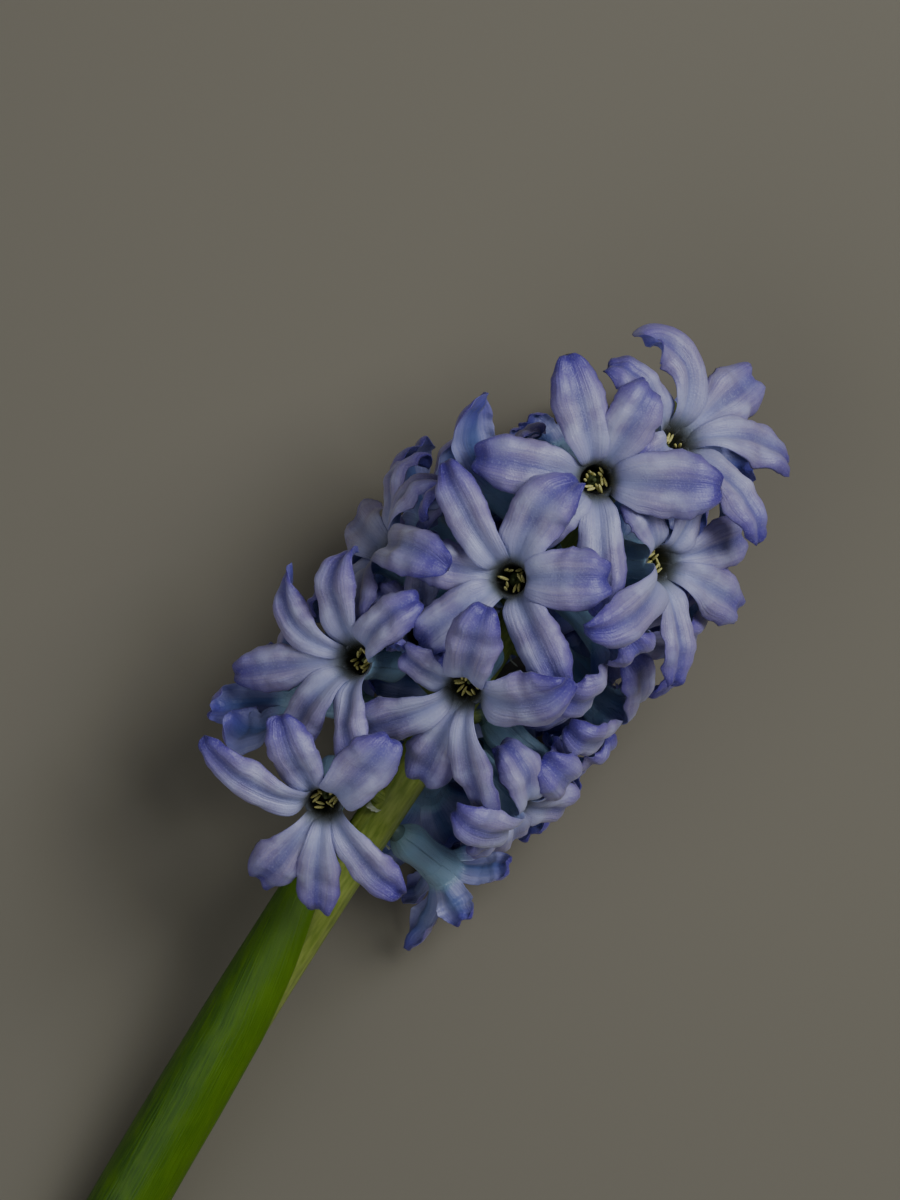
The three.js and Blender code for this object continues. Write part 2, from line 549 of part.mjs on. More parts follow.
add("scape", scape, SCAPE_GREEN);
add("leaf", leaf, LEAF_GREEN);
FLORETS.forEach((f, i) => {
  add(`floret_${f.name}`, florets[i], TEPAL_BLUE);
  add(`stamens_${f.name}`, stamens[i], ANTHER_YELLOW);
});

const footprint = new THREE.Box3().setFromObject(head);
head.position.set(
  -(footprint.min.x + footprint.max.x) / 2,
  -(footprint.min.y + footprint.max.y) / 2,
  -footprint.min.z,
);
const flower = new THREE.Group();
flower.add(head);

export default flower;
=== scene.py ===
# The looks of a cut garden hyacinth that lies on its side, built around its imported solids.
# Named sizes and the tables are in millimetres and degrees, and mm turns millimetres into Blender's metres.
import math

import bpy
import numpy as np
from mathutils import Matrix, Vector, kdtree


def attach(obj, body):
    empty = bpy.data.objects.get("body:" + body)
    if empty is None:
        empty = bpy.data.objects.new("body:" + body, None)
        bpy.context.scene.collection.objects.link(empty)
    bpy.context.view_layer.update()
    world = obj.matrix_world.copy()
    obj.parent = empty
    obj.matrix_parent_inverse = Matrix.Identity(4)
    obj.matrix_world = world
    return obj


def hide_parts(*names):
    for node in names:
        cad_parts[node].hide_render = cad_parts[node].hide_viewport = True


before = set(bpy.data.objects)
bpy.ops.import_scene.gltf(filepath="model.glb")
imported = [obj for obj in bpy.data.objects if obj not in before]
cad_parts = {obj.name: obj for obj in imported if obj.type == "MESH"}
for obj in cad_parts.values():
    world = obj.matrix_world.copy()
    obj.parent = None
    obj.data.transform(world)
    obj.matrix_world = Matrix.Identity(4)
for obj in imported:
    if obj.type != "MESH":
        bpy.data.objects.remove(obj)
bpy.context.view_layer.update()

mm = 0.001

# ---- Scape ------------------------------------------------------------------------------------------------
# The juicy stem, round and faintly ridged, with a short bent stalk to each floret, all grown as one piece.
# It arches from its cut end, which lies on the surface, up into the flower head. It is swept along its
# centre line, and the stalks along theirs.
CUT_AT = -102  # along the stem, of the cut end
STEM_TIP_AT = 78
HEAD_HEIGHT = 25.5  # of the stem's centre line above the surface, in the flower head
ARCH_FROM = 30  # from here back to the cut end the stem comes down to the surface
CUT_RADIUS = 3.9
NECK_RADIUS = 3.5  # where the first florets leave
TIP_RADIUS = 1.5
SIDE_BEND = 0.0004  # per mm, of the bow that the stem makes to one side
BOW_AT = 25  # along the stem, where the bow is widest
BOW_OFFSET = 0.5
STEM_RIDGES = 7
PEDICEL_RADIUS = 1.2  # of a floret's stalk
STALK_POINTS = 15
TUBE_LENGTH = 12.5  # of a floret's tube, from its base to its mouth

# Each floret: where the middle of its mouth is (along the stem, round it, and reach from its centre line)
# and which way it faces (lean towards the tip of the stem, swing round the stem). Then its six tepals,
#   (angle round the floret from the stem's tip, length, width, open, tip, bend, twist)
# or turn, open and tip for all six, with chance variation. Open is the pitch at which a tepal spreads, and
# tip the pitch at its end, both from the floret's axis: 90 is flat open and 180 is rolled right back.
FLORETS = {
    "01": dict(along=-4.2, round=25, reach=20.5, lean=-20, swing=-33, tepals=[
        (99, 22.5, 7.5, 76, 112, -35, 0), (55, 17.5, 9, 72, 150, 0, 0), (-7, 18.5, 10, 76, 122, 0, 0),
        (-106, 19, 7.5, 78, 125, 0, 0), (-150, 19, 8, 78, 125, 0, 0), (-184, 18.5, 9, 78, 140, 0, 0)]),
    "02": dict(along=22.4, round=1, reach=23, lean=-34, swing=-3, tepals=[
        (148, 21, 8.5, 78, 110, 0, 0), (189, 20, 10, 80, 118, 0, 0), (222, 23, 8, 76, 140, 0, 30),
        (17, 19, 9.5, 68, 140, 0, 0), (-53, 20, 11, 72, 145, 45, 0), (95, 11, 7, 85, 150, 0, 0)]),
    "03": dict(along=38.9, round=10.6, reach=24, lean=-9, swing=4, tepals=[
        (65, 21, 8, 76, 115, -8, 0), (9, 20.5, 10.5, 74, 130, -38, 0), (-56, 17.5, 11, 74, 150, 0, 0),
        (-115, 20, 9, 76, 130, -10, 0), (159, 19, 8.5, 78, 125, 0, 0), (112, 16, 8.5, 80, 130, 0, 0)]),
    "04": dict(along=59.3, round=7.5, reach=21.5, lean=2, swing=-14, tepals=[
        (51, 20, 9.5, 76, 115, 0, 0), (7, 19, 9.5, 70, 145, 0, 20), (-57, 20, 12, 78, 125, 0, 0),
        (-143, 21.5, 8.5, 76, 125, 0, 35), (116, 21, 10, 78, 148, 0, 0), (165, 17, 8.5, 84, 130, 0, 0)]),
    "05": dict(along=71.5, round=-10.5, reach=19, lean=44, swing=-8, tepals=[
        (20, 24, 8, 62, 110, 200, 0), (75, 17, 8.5, 75, 150, 10, 0), (-22, 22.5, 10.5, 78, 108, 0, 0),
        (-58, 24, 9, 76, 150, -20, 0), (-114, 21.5, 8, 74, 140, 0, 0), (152, 11, 7, 78, 150, 0, 0)]),
    "06": dict(along=54.6, round=-36, reach=22, lean=19, swing=-4, tepals=[
        (62, 14, 7, 68, 190, 0, 0), (-45, 18.5, 9, 76, 125, 0, 0), (-86, 19, 9.5, 78, 122, 0, 0),
        (-146, 19.5, 7.5, 74, 130, 0, 0), (155, 23, 9, 72, 120, -28, 0), (5, 15, 8, 80, 155, 0, 0)]),
    "07": dict(along=16.1, round=47, reach=23, lean=-12, swing=-16, tepals=[
        (98, 20.5, 7, 72, 128, -110, 0), (42, 19.5, 8.5, 60, 150, -45, 0), (128, 22, 8.5, 78, 115, 0, 0),
        (172, 19.5, 8.5, 78, 140, 0, 0), (-138, 18.5, 7.5, 66, 150, 0, 0), (-22, 17, 8.5, 85, 160, 0, 0)]),
    "08": dict(along=-7.5, round=-125, reach=16.5, lean=-10, swing=-4, tepals=[
        (190, 15, 6.5, 50, 95, 0, 0), (120, 8, 7.5, 34, 90, 0, 0), (45, 11, 6.5, 60, 115, 0, 0),
        (-10, 12, 7, 52, 95, 0, 0), (-70, 12, 7, 52, 95, 0, 0), (-130, 13, 7, 52, 95, 0, 0)]),
    "09": dict(along=3.8, round=92, reach=22, lean=-30, swing=20, tepals=[
        (-105, 14.5, 7.5, 45, 60, -12, 0), (-45, 9, 7, 60, 110, 0, 0), (15, 15, 9, 75, 135, 0, 0),
        (75, 15, 9, 70, 125, 0, 0), (135, 16, 9, 70, 125, 0, 0), (-150, 14, 9.5, 50, 85, 130, 0)]),
    "10": dict(along=31, round=70, reach=23, lean=0, swing=8, tepals=[
        (-80, 24, 9.5, 95, 155, 0, 0), (-18, 17.5, 8.5, 64, 170, 0, 0), (22, 20, 8.5, 56, 165, 0, 0),
        (84, 21, 10.5, 74, 105, 0, 0), (150, 15, 9, 72, 125, 0, 0), (215, 15, 8.5, 74, 135, 0, 0)]),
    "11": dict(along=49.4, round=48, reach=18.8, lean=12, swing=43, tepals=[
        (-88, 20, 8.5, 34, 75, 80, 0), (-25, 12, 9, 60, 125, 0, 0), (35, 13, 9, 70, 125, 0, 0),
        (95, 15, 9, 70, 125, 0, 0), (155, 16, 9, 66, 130, 0, 0), (215, 16, 9, 60, 130, 0, 0)]),
    "12": dict(along=50, round=132, reach=16.5, lean=-4, swing=0, tepals=[
        (0, 11, 8, 46, 110, 0, 0), (60, 15, 8.5, 46, 110, 0, 0), (120, 17, 9, 46, 110, 0, 0),
        (180, 17, 9, 46, 110, 0, 0), (240, 13, 8.5, 46, 110, 0, 0), (300, 9, 7, 46, 110, 0, 0)]),
    "13": dict(along=40.5, round=-49, reach=17, lean=-12, swing=-27, tepals=[
        (190, 20, 9, 76, 120, 0, 0), (135, 20, 11, 45, 175, 0, 0), (78, 17, 9.5, 32, 160, 0, 0),
        (5, 17, 9, 66, 130, 0, 0), (-60, 17, 9, 60, 110, 0, 0), (-120, 17, 9, 70, 115, 0, 0)]),
    "14": dict(along=31, round=-96, reach=19.5, lean=-5, swing=0, tepals=[
        (-5, 18, 8.5, 84, 172, 0, 0), (58, 20, 9, 96, 190, 0, 0), (115, 20, 9, 94, 188, 0, 0),
        (175, 18, 8.5, 84, 172, 0, 0), (238, 19, 9, 84, 172, 0, 0), (298, 18, 9, 84, 172, 0, 0)]),
    "15": dict(along=17, round=-96, reach=18, lean=-6, swing=4, tepals=[
        (20, 12.5, 9, 88, 190, 0, 0), (82, 20, 9.5, 100, 200, 0, 0), (140, 17, 9, 88, 195, 0, 0),
        (200, 13, 9, 80, 165, 0, 0), (260, 17, 9, 78, 165, 0, 0), (-40, 12.5, 9, 80, 165, 0, 0)]),
    "16": dict(along=10, round=-64, reach=18.5, lean=-10, swing=-12, tepals=[
        (-12, 18, 9, 88, 190, 0, 0), (50, 20, 9, 98, 205, 0, 0), (112, 18, 9, 92, 205, 0, 0),
        (172, 10, 8, 74, 185, 0, 0), (235, 11, 8.5, 70, 180, 0, 0), (-66, 17, 9, 78, 165, 0, 0)]),
    "17": dict(along=25, round=36, reach=18.5, lean=-5, swing=-4, tepals=[
        (20, 15, 8, 45, 80, 0, 0), (80, 13, 7, 30, 60, 0, 0), (145, 7, 6, 5, 5, 0, 0),
        (205, 9, 6, 10, 20, 0, 0), (265, 15, 8, 45, 90, 0, 0), (-40, 15, 8, 50, 90, 0, 0)]),
    "18": dict(along=1, round=-168, reach=19.5, lean=-22, swing=0, turn=0, open=76, tip=145),
    "19": dict(along=20, round=126, reach=22, lean=-12, swing=0, turn=30, open=76, tip=145),
    "20": dict(along=38, round=116, reach=21, lean=0, swing=0, turn=0, open=76, tip=145),
    "21": dict(along=61, round=158, reach=20, lean=4, swing=4, tepals=[
        (33, 18, 9, 70, 150, 0, 0), (94, 19, 9.5, 70, 145, 0, 0), (150, 19, 9, 70, 150, 0, 0),
        (206, 17, 9, 70, 150, 0, 0), (274, 9, 7, 60, 150, 0, 0), (335, 10, 8, 60, 150, 0, 0)]),
    "22": dict(along=17, round=176, reach=21, lean=-6, swing=0, turn=10, open=76, tip=145),
    "23": dict(along=38, round=164, reach=21, lean=0, swing=0, turn=0, open=76, tip=145),
    "24": dict(along=53, round=-158, reach=21, lean=3, swing=0, turn=20, open=76, tip=145),
    "25": dict(along=69, round=-165, reach=16.5, lean=30, swing=0, tepals=[
        (-2, 13, 8.5, 55, 110, 0, 0), (62, 15, 9, 60, 120, 0, 0), (120, 18, 9.5, 60, 120, 0, 0),
        (176, 18, 9, 60, 125, 0, 0), (240, 17, 9.5, 60, 120, 0, 0), (302, 13, 8.5, 55, 110, 0, 0)]),
    "26": dict(along=12, round=-134, reach=22, lean=-4, swing=0, tepals=[
        (-2, 17, 9, 76, 145, 0, 0), (57, 12, 9, 76, 150, 0, 0), (122, 10.5, 8.5, 76, 150, 0, 0),
        (178, 13, 9, 76, 145, 0, 0), (239, 17, 9, 76, 150, 0, 0), (302, 17, 9, 76, 140, 0, 0)]),
    "27": dict(along=33, round=-138, reach=22, lean=0, swing=0, turn=40, open=76, tip=145),
    "28": dict(along=54, round=-98, reach=19, lean=14, swing=0, turn=0, open=76, tip=145),
}


def mix(low, high, share):
    return low + (high - low) * share


def ease(share):
    share = np.clip(share, 0, 1)
    return share * share * (3 - 2 * share)


def unit(direction):
    return direction / np.linalg.norm(direction)


def stem_centre(along):
    back = max(0, (ARCH_FROM - along) / (ARCH_FROM - CUT_AT))
    height = HEAD_HEIGHT - (HEAD_HEIGHT - CUT_RADIUS) * back**1.5
    return np.array([along, BOW_OFFSET - SIDE_BEND * (along - BOW_AT) ** 2, height])


def stem_ways(along):
    """The stem's own directions at a place along it: forward to the tip, up, and to the side."""
    forward = unit(stem_centre(along + 0.5) - stem_centre(along - 0.5))
    side = unit(np.cross((0, 0, 1), forward))
    return forward, unit(np.cross(forward, side)), side


def outward(along, round_stem):
    up, side = stem_ways(along)[1:]
    return up * math.cos(math.radians(round_stem)) + side * math.sin(math.radians(round_stem))


def stem_radius(along):
    if along < 0:
        return mix(CUT_RADIUS, NECK_RADIUS, (along - CUT_AT) / -CUT_AT)
    return mix(NECK_RADIUS, TIP_RADIUS, ease(along / STEM_TIP_AT))


def floret_place(row):
    """For a row of FLORETS: the middle of the mouth, the floret's axis, and two directions across it."""
    mouth = stem_centre(row["along"]) + row["reach"] * outward(row["along"], row["round"])
    lean = math.radians(row["lean"])
    forward = stem_ways(row["along"])[0]
    axis = outward(row["along"], row["round"] + row["swing"]) * math.cos(lean) + forward * math.sin(lean)
    zero = unit(forward - axis * forward.dot(axis))
    return mouth, axis, zero, np.cross(axis, zero)


# The tables count from the stem's lowest florets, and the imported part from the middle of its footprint. The
# tip of the stem is in both.
tip_in_part = np.array(max((v.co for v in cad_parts["scape"].data.vertices), key=lambda co: co.x)) / mm
TO_PART = tip_in_part - stem_centre(STEM_TIP_AT)


class Wire:
    """An output in a node tree, which can be added and multiplied as a number can."""

    def __init__(self, tree, socket):
        self.tree = tree
        self.socket = socket

    def sum(self, operation, *others):
        made = self.tree.nodes.new("ShaderNodeMath")
        made.operation = operation
        for socket, value in zip(made.inputs, (self, *others)):
            plug(self.tree, socket, value)
        return Wire(self.tree, made.outputs[0])

    def __add__(self, other):
        return self.sum("ADD", other)

    def __sub__(self, other):
        return self.sum("SUBTRACT", other)

    def __mul__(self, other):
        return self.sum("MULTIPLY", other)

    def size(self):
        return self.sum("ABSOLUTE")

    def smooth(self, low, high):
        """0 up to low, 1 from high, and a smooth step between them. Low may be above high."""
        made = self.tree.nodes.new("ShaderNodeMapRange")
        made.interpolation_type = "SMOOTHSTEP"
        plug(self.tree, made.inputs["Value"], self)
        plug(self.tree, made.inputs["From Min"], min(low, high))
        plug(self.tree, made.inputs["From Max"], max(low, high))
        plug(self.tree, made.inputs["To Min"], 0.0 if low < high else 1.0)
        plug(self.tree, made.inputs["To Max"], 1.0 if low < high else 0.0)
        return Wire(self.tree, made.outputs["Result"])


def plug(tree, socket, value):
    if isinstance(value, Wire):
        tree.links.new(value.socket, socket)
    else:
        socket.default_value = value


def step(tree, kind, inputs=None, output=0, **settings):
    """One node with its settings and inputs, and the output asked for."""
    made = tree.nodes.new(kind)
    for name, value in settings.items():
        setattr(made, name, value)
    for name, value in (inputs or {}).items():
        plug(tree, made.inputs[name], value)
    return Wire(tree, made.outputs[output])


def shape_tree(name, **inputs):
    """An empty geometry tree with a Geometry input and named ones: numbers, directions or a material."""
    tree = bpy.data.node_groups.new(name, "GeometryNodeTree")
    tree.interface.new_socket("Geometry", in_out="INPUT", socket_type="NodeSocketGeometry")
    tree.interface.new_socket("Geometry", in_out="OUTPUT", socket_type="NodeSocketGeometry")
    kinds = {int: "NodeSocketInt", float: "NodeSocketFloat", tuple: "NodeSocketVector",
             bpy.types.Material: "NodeSocketMaterial"}
    for label, value in inputs.items():
        made = tree.interface.new_socket(label, in_out="INPUT", socket_type=kinds[type(value)])
        made.default_value = value
    group = tree.nodes.new("NodeGroupInput")
    return tree, {socket.name: Wire(tree, socket) for socket in group.outputs if socket.name}


def named(tree, name, kind="FLOAT"):
    return step(tree, "GeometryNodeInputNamedAttribute", {"Name": name}, data_type=kind)


def store(tree, geometry, name, value, kind="FLOAT"):
    inputs = {"Geometry": geometry, "Name": name, "Value": value}
    return step(tree, "GeometryNodeStoreNamedAttribute", inputs, data_type=kind, domain="POINT")


def end_tree(tree, geometry, material):
    """Ends a geometry tree as a smooth, real mesh of one material."""
    geometry = step(tree, "GeometryNodeRealizeInstances", {"Geometry": geometry})
    geometry = step(tree, "GeometryNodeSetShadeSmooth", {"Geometry": geometry})
    geometry = step(tree, "GeometryNodeSetMaterial", {"Geometry": geometry, "Material": material})
    out = tree.nodes.new("NodeGroupOutput")
    tree.links.new(geometry.socket, out.inputs["Geometry"])


def net(name, points, edges=(), faces=(), **marks):
    """A mesh in the part's own place, with marks on each of its points: values or directions."""
    mesh = bpy.data.meshes.new(name)
    mesh.from_pydata((np.concatenate(points) + TO_PART) * mm, list(edges), list(faces))
    for mark_name, values in marks.items():
        values = np.concatenate(values).astype(np.float32)
        kind, key = ("FLOAT", "value") if values.ndim == 1 else ("FLOAT_VECTOR", "vector")
        mesh.attributes.new(mark_name, kind, "POINT").data.foreach_set(key, values.ravel())
    return mesh


def add_marks(marks, count, **values):
    """Marks some more points: each mark has a value or a direction per point, or one for all of them."""
    for name, value in values.items():
        value = np.asarray(value, float)
        shape = (count, 3) if value.shape[-1:] == (3,) else (count,)
        marks.setdefault(name, []).append(np.broadcast_to(value, shape))


def open_lines(lines):
    """The edges of lines whose points are counted on from one line to the next."""
    ends = np.cumsum([len(line) for line in lines])
    return [(i, i + 1) for i in range(ends[-1] - 1) if i + 1 not in ends]


def grown(name, mesh, tree, material, **inputs):
    """The plain mesh that a geometry tree makes of a mesh, as an object at the origin."""
    start = bpy.data.objects.new(name, mesh)
    bpy.context.scene.collection.objects.link(start)
    modifier = start.modifiers.new("shape", "NODES")
    modifier.node_group = tree
    for socket in tree.interface.items_tree:
        if socket.name == "Material":
            modifier[socket.identifier] = material
        elif socket.name in inputs:
            modifier[socket.identifier] = inputs[socket.name]
    bpy.context.view_layer.update()
    graph = bpy.context.evaluated_depsgraph_get()
    made = bpy.data.meshes.new_from_object(start.evaluated_get(graph), depsgraph=graph)
    start.modifiers.clear()
    start.data = made
    made.name = name
    return start


def skin(name):
    """An empty material, its tree and its shader."""
    material = bpy.data.materials.new(name)
    material.use_nodes = True
    tree = material.node_tree
    shader = tree.nodes["Principled BSDF"]
    return material, tree, shader


def mark(tree, name):
    return step(tree, "ShaderNodeAttribute", output="Fac", attribute_name=name)


def blend(tree, share, first, second):
    """The first colour where share is 0 and the second where it is 1."""
    made = tree.nodes.new("ShaderNodeMix")
    made.data_type = "RGBA"
    plug(tree, made.inputs["Factor"], share)
    colours = [socket for socket in made.inputs if socket.type == "RGBA"]
    for socket, value in zip(colours, (first, second)):
        plug(tree, socket, value if isinstance(value, Wire) else (*value, 1))
    return Wire(tree, next(socket for socket in made.outputs if socket.type == "RGBA"))


def cloud(tree, place, scale, detail=2.0, seed=0.0):
    """A noise from about 0.25 to 0.75."""
    inputs = {"Vector": place, "W": seed, "Scale": scale, "Detail": detail}
    return step(tree, "ShaderNodeTexNoise", inputs, noise_dimensions="4D")


def joined(tree, x, y, z):
    return step(tree, "ShaderNodeCombineXYZ", {"X": x, "Y": y, "Z": z})


def relief(tree, shader, height, depth):
    inputs = {"Height": height, "Strength": 1.0, "Distance": depth}
    plug(tree, shader.inputs["Normal"], step(tree, "ShaderNodeBump", inputs, output="Normal"))


scape_skin, tree, shader = skin("scape")
place = step(tree, "ShaderNodeTexCoord", output="Object")
stalk = mark(tree, "stalk")
cut = mark(tree, "cut")
around = mark(tree, "around")
streaks = cloud(tree, joined(tree, around * 30.0, mark(tree, "along") * 2.5, 0.0), 1.0, 3.0)
mottle = cloud(tree, place, 140.0, 3.0)
green = blend(tree, streaks.smooth(0.3, 0.7), (0.20, 0.29, 0.025), (0.41, 0.49, 0.085))
green = blend(tree, mottle.smooth(0.35, 0.75) * 0.35, green, (0.48, 0.54, 0.15))
green = blend(tree, stalk.smooth(0.1, 1.0), green, (0.13, 0.21, 0.20))
pith = blend(tree, cloud(tree, place, 900.0).smooth(0.45, 0.7), (0.42, 0.46, 0.22), (0.28, 0.34, 0.10))
plug(tree, shader.inputs["Base Color"], blend(tree, cut, green, pith))
plug(tree, shader.inputs["Roughness"], mottle * 0.25 + 0.28)
shader.inputs["Subsurface Weight"].default_value = 0.15
shader.inputs["Subsurface Radius"].default_value = (0.8, 1.0, 0.3)
shader.inputs["Subsurface Scale"].default_value = 1.0 * mm
shader.inputs["Coat Weight"].default_value = 0.15
relief(tree, shader, streaks * 0.7 + cloud(tree, place, 1600.0) * 0.3, 0.2 * mm)

sweep, given = shape_tree("swept stem", Sides=36, Ridge=0.02, Material=scape_skin)
circle = step(sweep, "GeometryNodeCurvePrimitiveCircle", {"Resolution": given["Sides"], "Radius": 1.0})
turn = step(sweep, "GeometryNodeSplineParameter", output="Factor")
circle = store(sweep, circle, "around", turn)
wave = (turn * (2 * math.pi * STEM_RIDGES)).sum("COSINE")
spot = step(sweep, "GeometryNodeInputPosition")
bulge = step(sweep, "ShaderNodeVectorMath", {0: spot, "Scale": wave * given["Ridge"]}, operation="SCALE")
circle = step(sweep, "GeometryNodeSetPosition", {"Geometry": circle, "Offset": bulge})
line = step(sweep, "GeometryNodeMeshToCurve", {"Mesh": given["Geometry"]})
tubes = step(sweep, "GeometryNodeCurveToMesh", {
    "Curve": line, "Profile Curve": circle, "Scale": named(sweep, "radius"), "Fill Caps": True,
})
end_tree(sweep, tubes, given["Material"])


def stalk_line(row):
    """A floret's stalk: it starts inside the stem, leaves it squarely and bends to the tube's base."""
    mouth, axis, _, _ = floret_place(row)
    base = mouth - axis * TUBE_LENGTH
    foot = base[0] - 2 - 5 * math.sin(math.radians(row["lean"]))
    radial = outward(foot, row["round"])
    start = stem_centre(foot) + radial * stem_radius(stem_centre(foot)[0]) * 0.4
    corners = [start, start + radial * 4, base - axis * 2.5, base + axis * 0.2]
    share = np.linspace(0, 1, STALK_POINTS)[:, None]
    rest = 1 - share
    weights = [rest**3, 3 * share * rest**2, 3 * share * share * rest, share**3]
    return sum(weight * corner for weight, corner in zip(weights, corners))


# The stem's line, as (place along it, radius): the flat cut face, the shaft and the rounded tip.
CUT_FACE = [(CUT_AT - 0.06, 0.01), (CUT_AT - 0.04, CUT_RADIUS * 0.5), (CUT_AT - 0.02, CUT_RADIUS * 0.97)]
ROUND_TIP = [(STEM_TIP_AT - 1.2, 1.25), (STEM_TIP_AT - 0.3, 0.7), (STEM_TIP_AT, 0.02)]
shaft = [(along, stem_radius(along)) for along in (CUT_AT, *np.arange(CUT_AT + 3, STEM_TIP_AT - 2, 3))]
stem_places, stem_widths = zip(*CUT_FACE, *shaft, *ROUND_TIP)
stem_line = [stem_centre(along) for along in stem_places]
stalks = [stalk_line(row) for row in FLORETS.values()]
lines = [stem_line, *stalks]
share = np.linspace(0, 1, STALK_POINTS)
stalk_widths = PEDICEL_RADIUS * np.interp(share, [0, 0.2, 0.6, 0.9, 1], [1.25, 1, 0.9, 1.1, 1.3])
marks = {}
add_marks(
    marks, len(stem_line), radius=np.array(stem_widths) * mm, along=np.array(stem_line)[:, 0] / 10, stalk=0,
    cut=np.arange(len(stem_line)) < len(CUT_FACE),
)
for _ in stalks:
    add_marks(
        marks, STALK_POINTS, radius=stalk_widths * mm, along=np.arange(STALK_POINTS) / 10, stalk=share,
        cut=0,
    )
scape_mesh = net("stem_and_stalks", lines, open_lines(lines), **marks)
stem = grown("stem_and_stalks", scape_mesh, sweep, scape_skin)
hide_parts("scape")
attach(stem, "root")

# ---- Leaf -------------------------------------------------------------------------------------------------
# One long strap leaf, thick and smooth, dark green with fine veins from end to end. It clasps the stem at
# the cut end, folded over its top and round one flank, and narrows to a point beside the lowest florets.
LEAF_THICK = 1.2
LEAF_STANDOFF = 2.2  # of more room between the stem and the leaf, on the flank that it is folded round
SEAT_GAP = 0.3  # between pieces that touch
# Where the leaf reaches round the stem, as (place along the stem, angle of one edge, angle of the other).
LEAF_SPAN = [
    (CUT_AT, -80, 115), (-80, -78, 118), (-60, -70, 120), (-45, -55, 122),
    (-32, -25, 124), (-20, 8, 124), (-10, 40, 122), (-3, 70, 118), (3, 98, 98),
]
LEAF_ROWS = 72
LEAF_COLUMNS = 40
LEAF_VEINS = 14
VEIN_HEIGHT = 0.05

leaf_skin, tree, shader = skin("leaf")
place = step(tree, "ShaderNodeTexCoord", output="Object")
across = mark(tree, "across")
along = mark(tree, "along")
cut = mark(tree, "cut")
veins = cloud(tree, joined(tree, across * 34.0, along * 1.2, 0.0), 1.0, 2.0)
broad = cloud(tree, joined(tree, across * 6.0, along * 2.0, 3.0), 1.0, 2.0)
green = blend(tree, veins.smooth(0.35, 0.68), (0.040, 0.120, 0.001), (0.080, 0.200, 0.002))
green = blend(tree, broad.smooth(0.4, 0.7) * 0.45, green, (0.125, 0.260, 0.002))
# Painted light and shade: the leaf is painted lighter towards one flank, the one towards the key light, and
# darker towards the other.
green = blend(tree, across.smooth(0.3, -0.7) * 0.5, green, (0.140, 0.270, 0.004))
green = blend(tree, across.size().smooth(0.93, 1.0) * 0.35, green, (0.20, 0.28, 0.03))
plug(tree, shader.inputs["Base Color"], blend(tree, cut, green, (0.22, 0.30, 0.07)))
plug(tree, shader.inputs["Roughness"], veins * 0.2 + 0.42)
shader.inputs["Subsurface Weight"].default_value = 0.12
shader.inputs["Subsurface Radius"].default_value = (0.5, 1.0, 0.2)
shader.inputs["Subsurface Scale"].default_value = 1.0 * mm
shader.inputs["Coat Weight"].default_value = 0.03
relief(tree, shader, veins * 0.8 + cloud(tree, place, 2500.0) * 0.2, 0.18 * mm)


def leaf_point(along, round_stem, lift):
    """A place on the leaf, lifted from the side that faces the stem."""
    standoff = LEAF_STANDOFF * ease((math.sin(math.radians(round_stem)) + 1) / 2)
    reach = stem_radius(along) + SEAT_GAP + standoff + lift
    return stem_centre(along) + reach * outward(along, round_stem)


def leaf_rim(along):
    """The angles round the stem where the leaf's two edges are."""
    places = [row[0] for row in LEAF_SPAN]
    return [np.interp(along, places, [row[k] for row in LEAF_SPAN]) for k in (1, 2)]


def ring_faces(rings, sides):
    """The faces between rings of points that follow each other."""
    return [
        (i * sides + k, i * sides + (k + 1) % sides, (i + 1) * sides + (k + 1) % sides, (i + 1) * sides + k)
        for i in range(rings - 1) for k in range(sides)
    ]


# Each ring goes along the side by the stem from edge to edge, and back over the leaf's outer side.
ring = 2 * LEAF_COLUMNS
shares = [-math.cos(math.pi * k / LEAF_COLUMNS) for k in range(ring)]
points, marks = [], {}
tip_at, tip_turn, _ = LEAF_SPAN[-1]
for i in range(LEAF_ROWS):
    along = mix(CUT_AT, tip_at, 1 - (1 - i / LEAF_ROWS) ** 1.15)
    first, last = leaf_rim(along)
    for k, share in enumerate(shares):
        crown = math.sqrt(max(0, 1 - abs(share) ** 6))
        fullness = 0.5 * crown * (1 if k < LEAF_COLUMNS else -1) * (1 - 0.3 * share**2)
        vein = VEIN_HEIGHT * math.cos(share * math.pi * LEAF_VEINS) * crown
        lift = LEAF_THICK * (0.5 - fullness) + vein
        points.append(leaf_point(along, mix(first, last, (share + 1) / 2), lift))
    add_marks(marks, ring, across=shares, along=along / 10, cut=i == 0)
points.append(leaf_point(tip_at, tip_turn, LEAF_THICK / 2))
add_marks(marks, 1, across=0, along=tip_at / 10, cut=0)
last_ring = (LEAF_ROWS - 1) * ring
faces = ring_faces(LEAF_ROWS, ring)
faces += [(last_ring + k, last_ring + (k + 1) % ring, last_ring + ring) for k in range(ring)]
faces.append(tuple(reversed(range(ring))))
leaf_mesh = net("strap_leaf", [points], (), faces, **marks)
leaf_mesh.shade_smooth()
leaf_mesh.materials.append(leaf_skin)
strap_leaf = bpy.data.objects.new("strap_leaf", leaf_mesh)
bpy.context.scene.collection.objects.link(strap_leaf)
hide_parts("leaf")
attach(strap_leaf, "root")

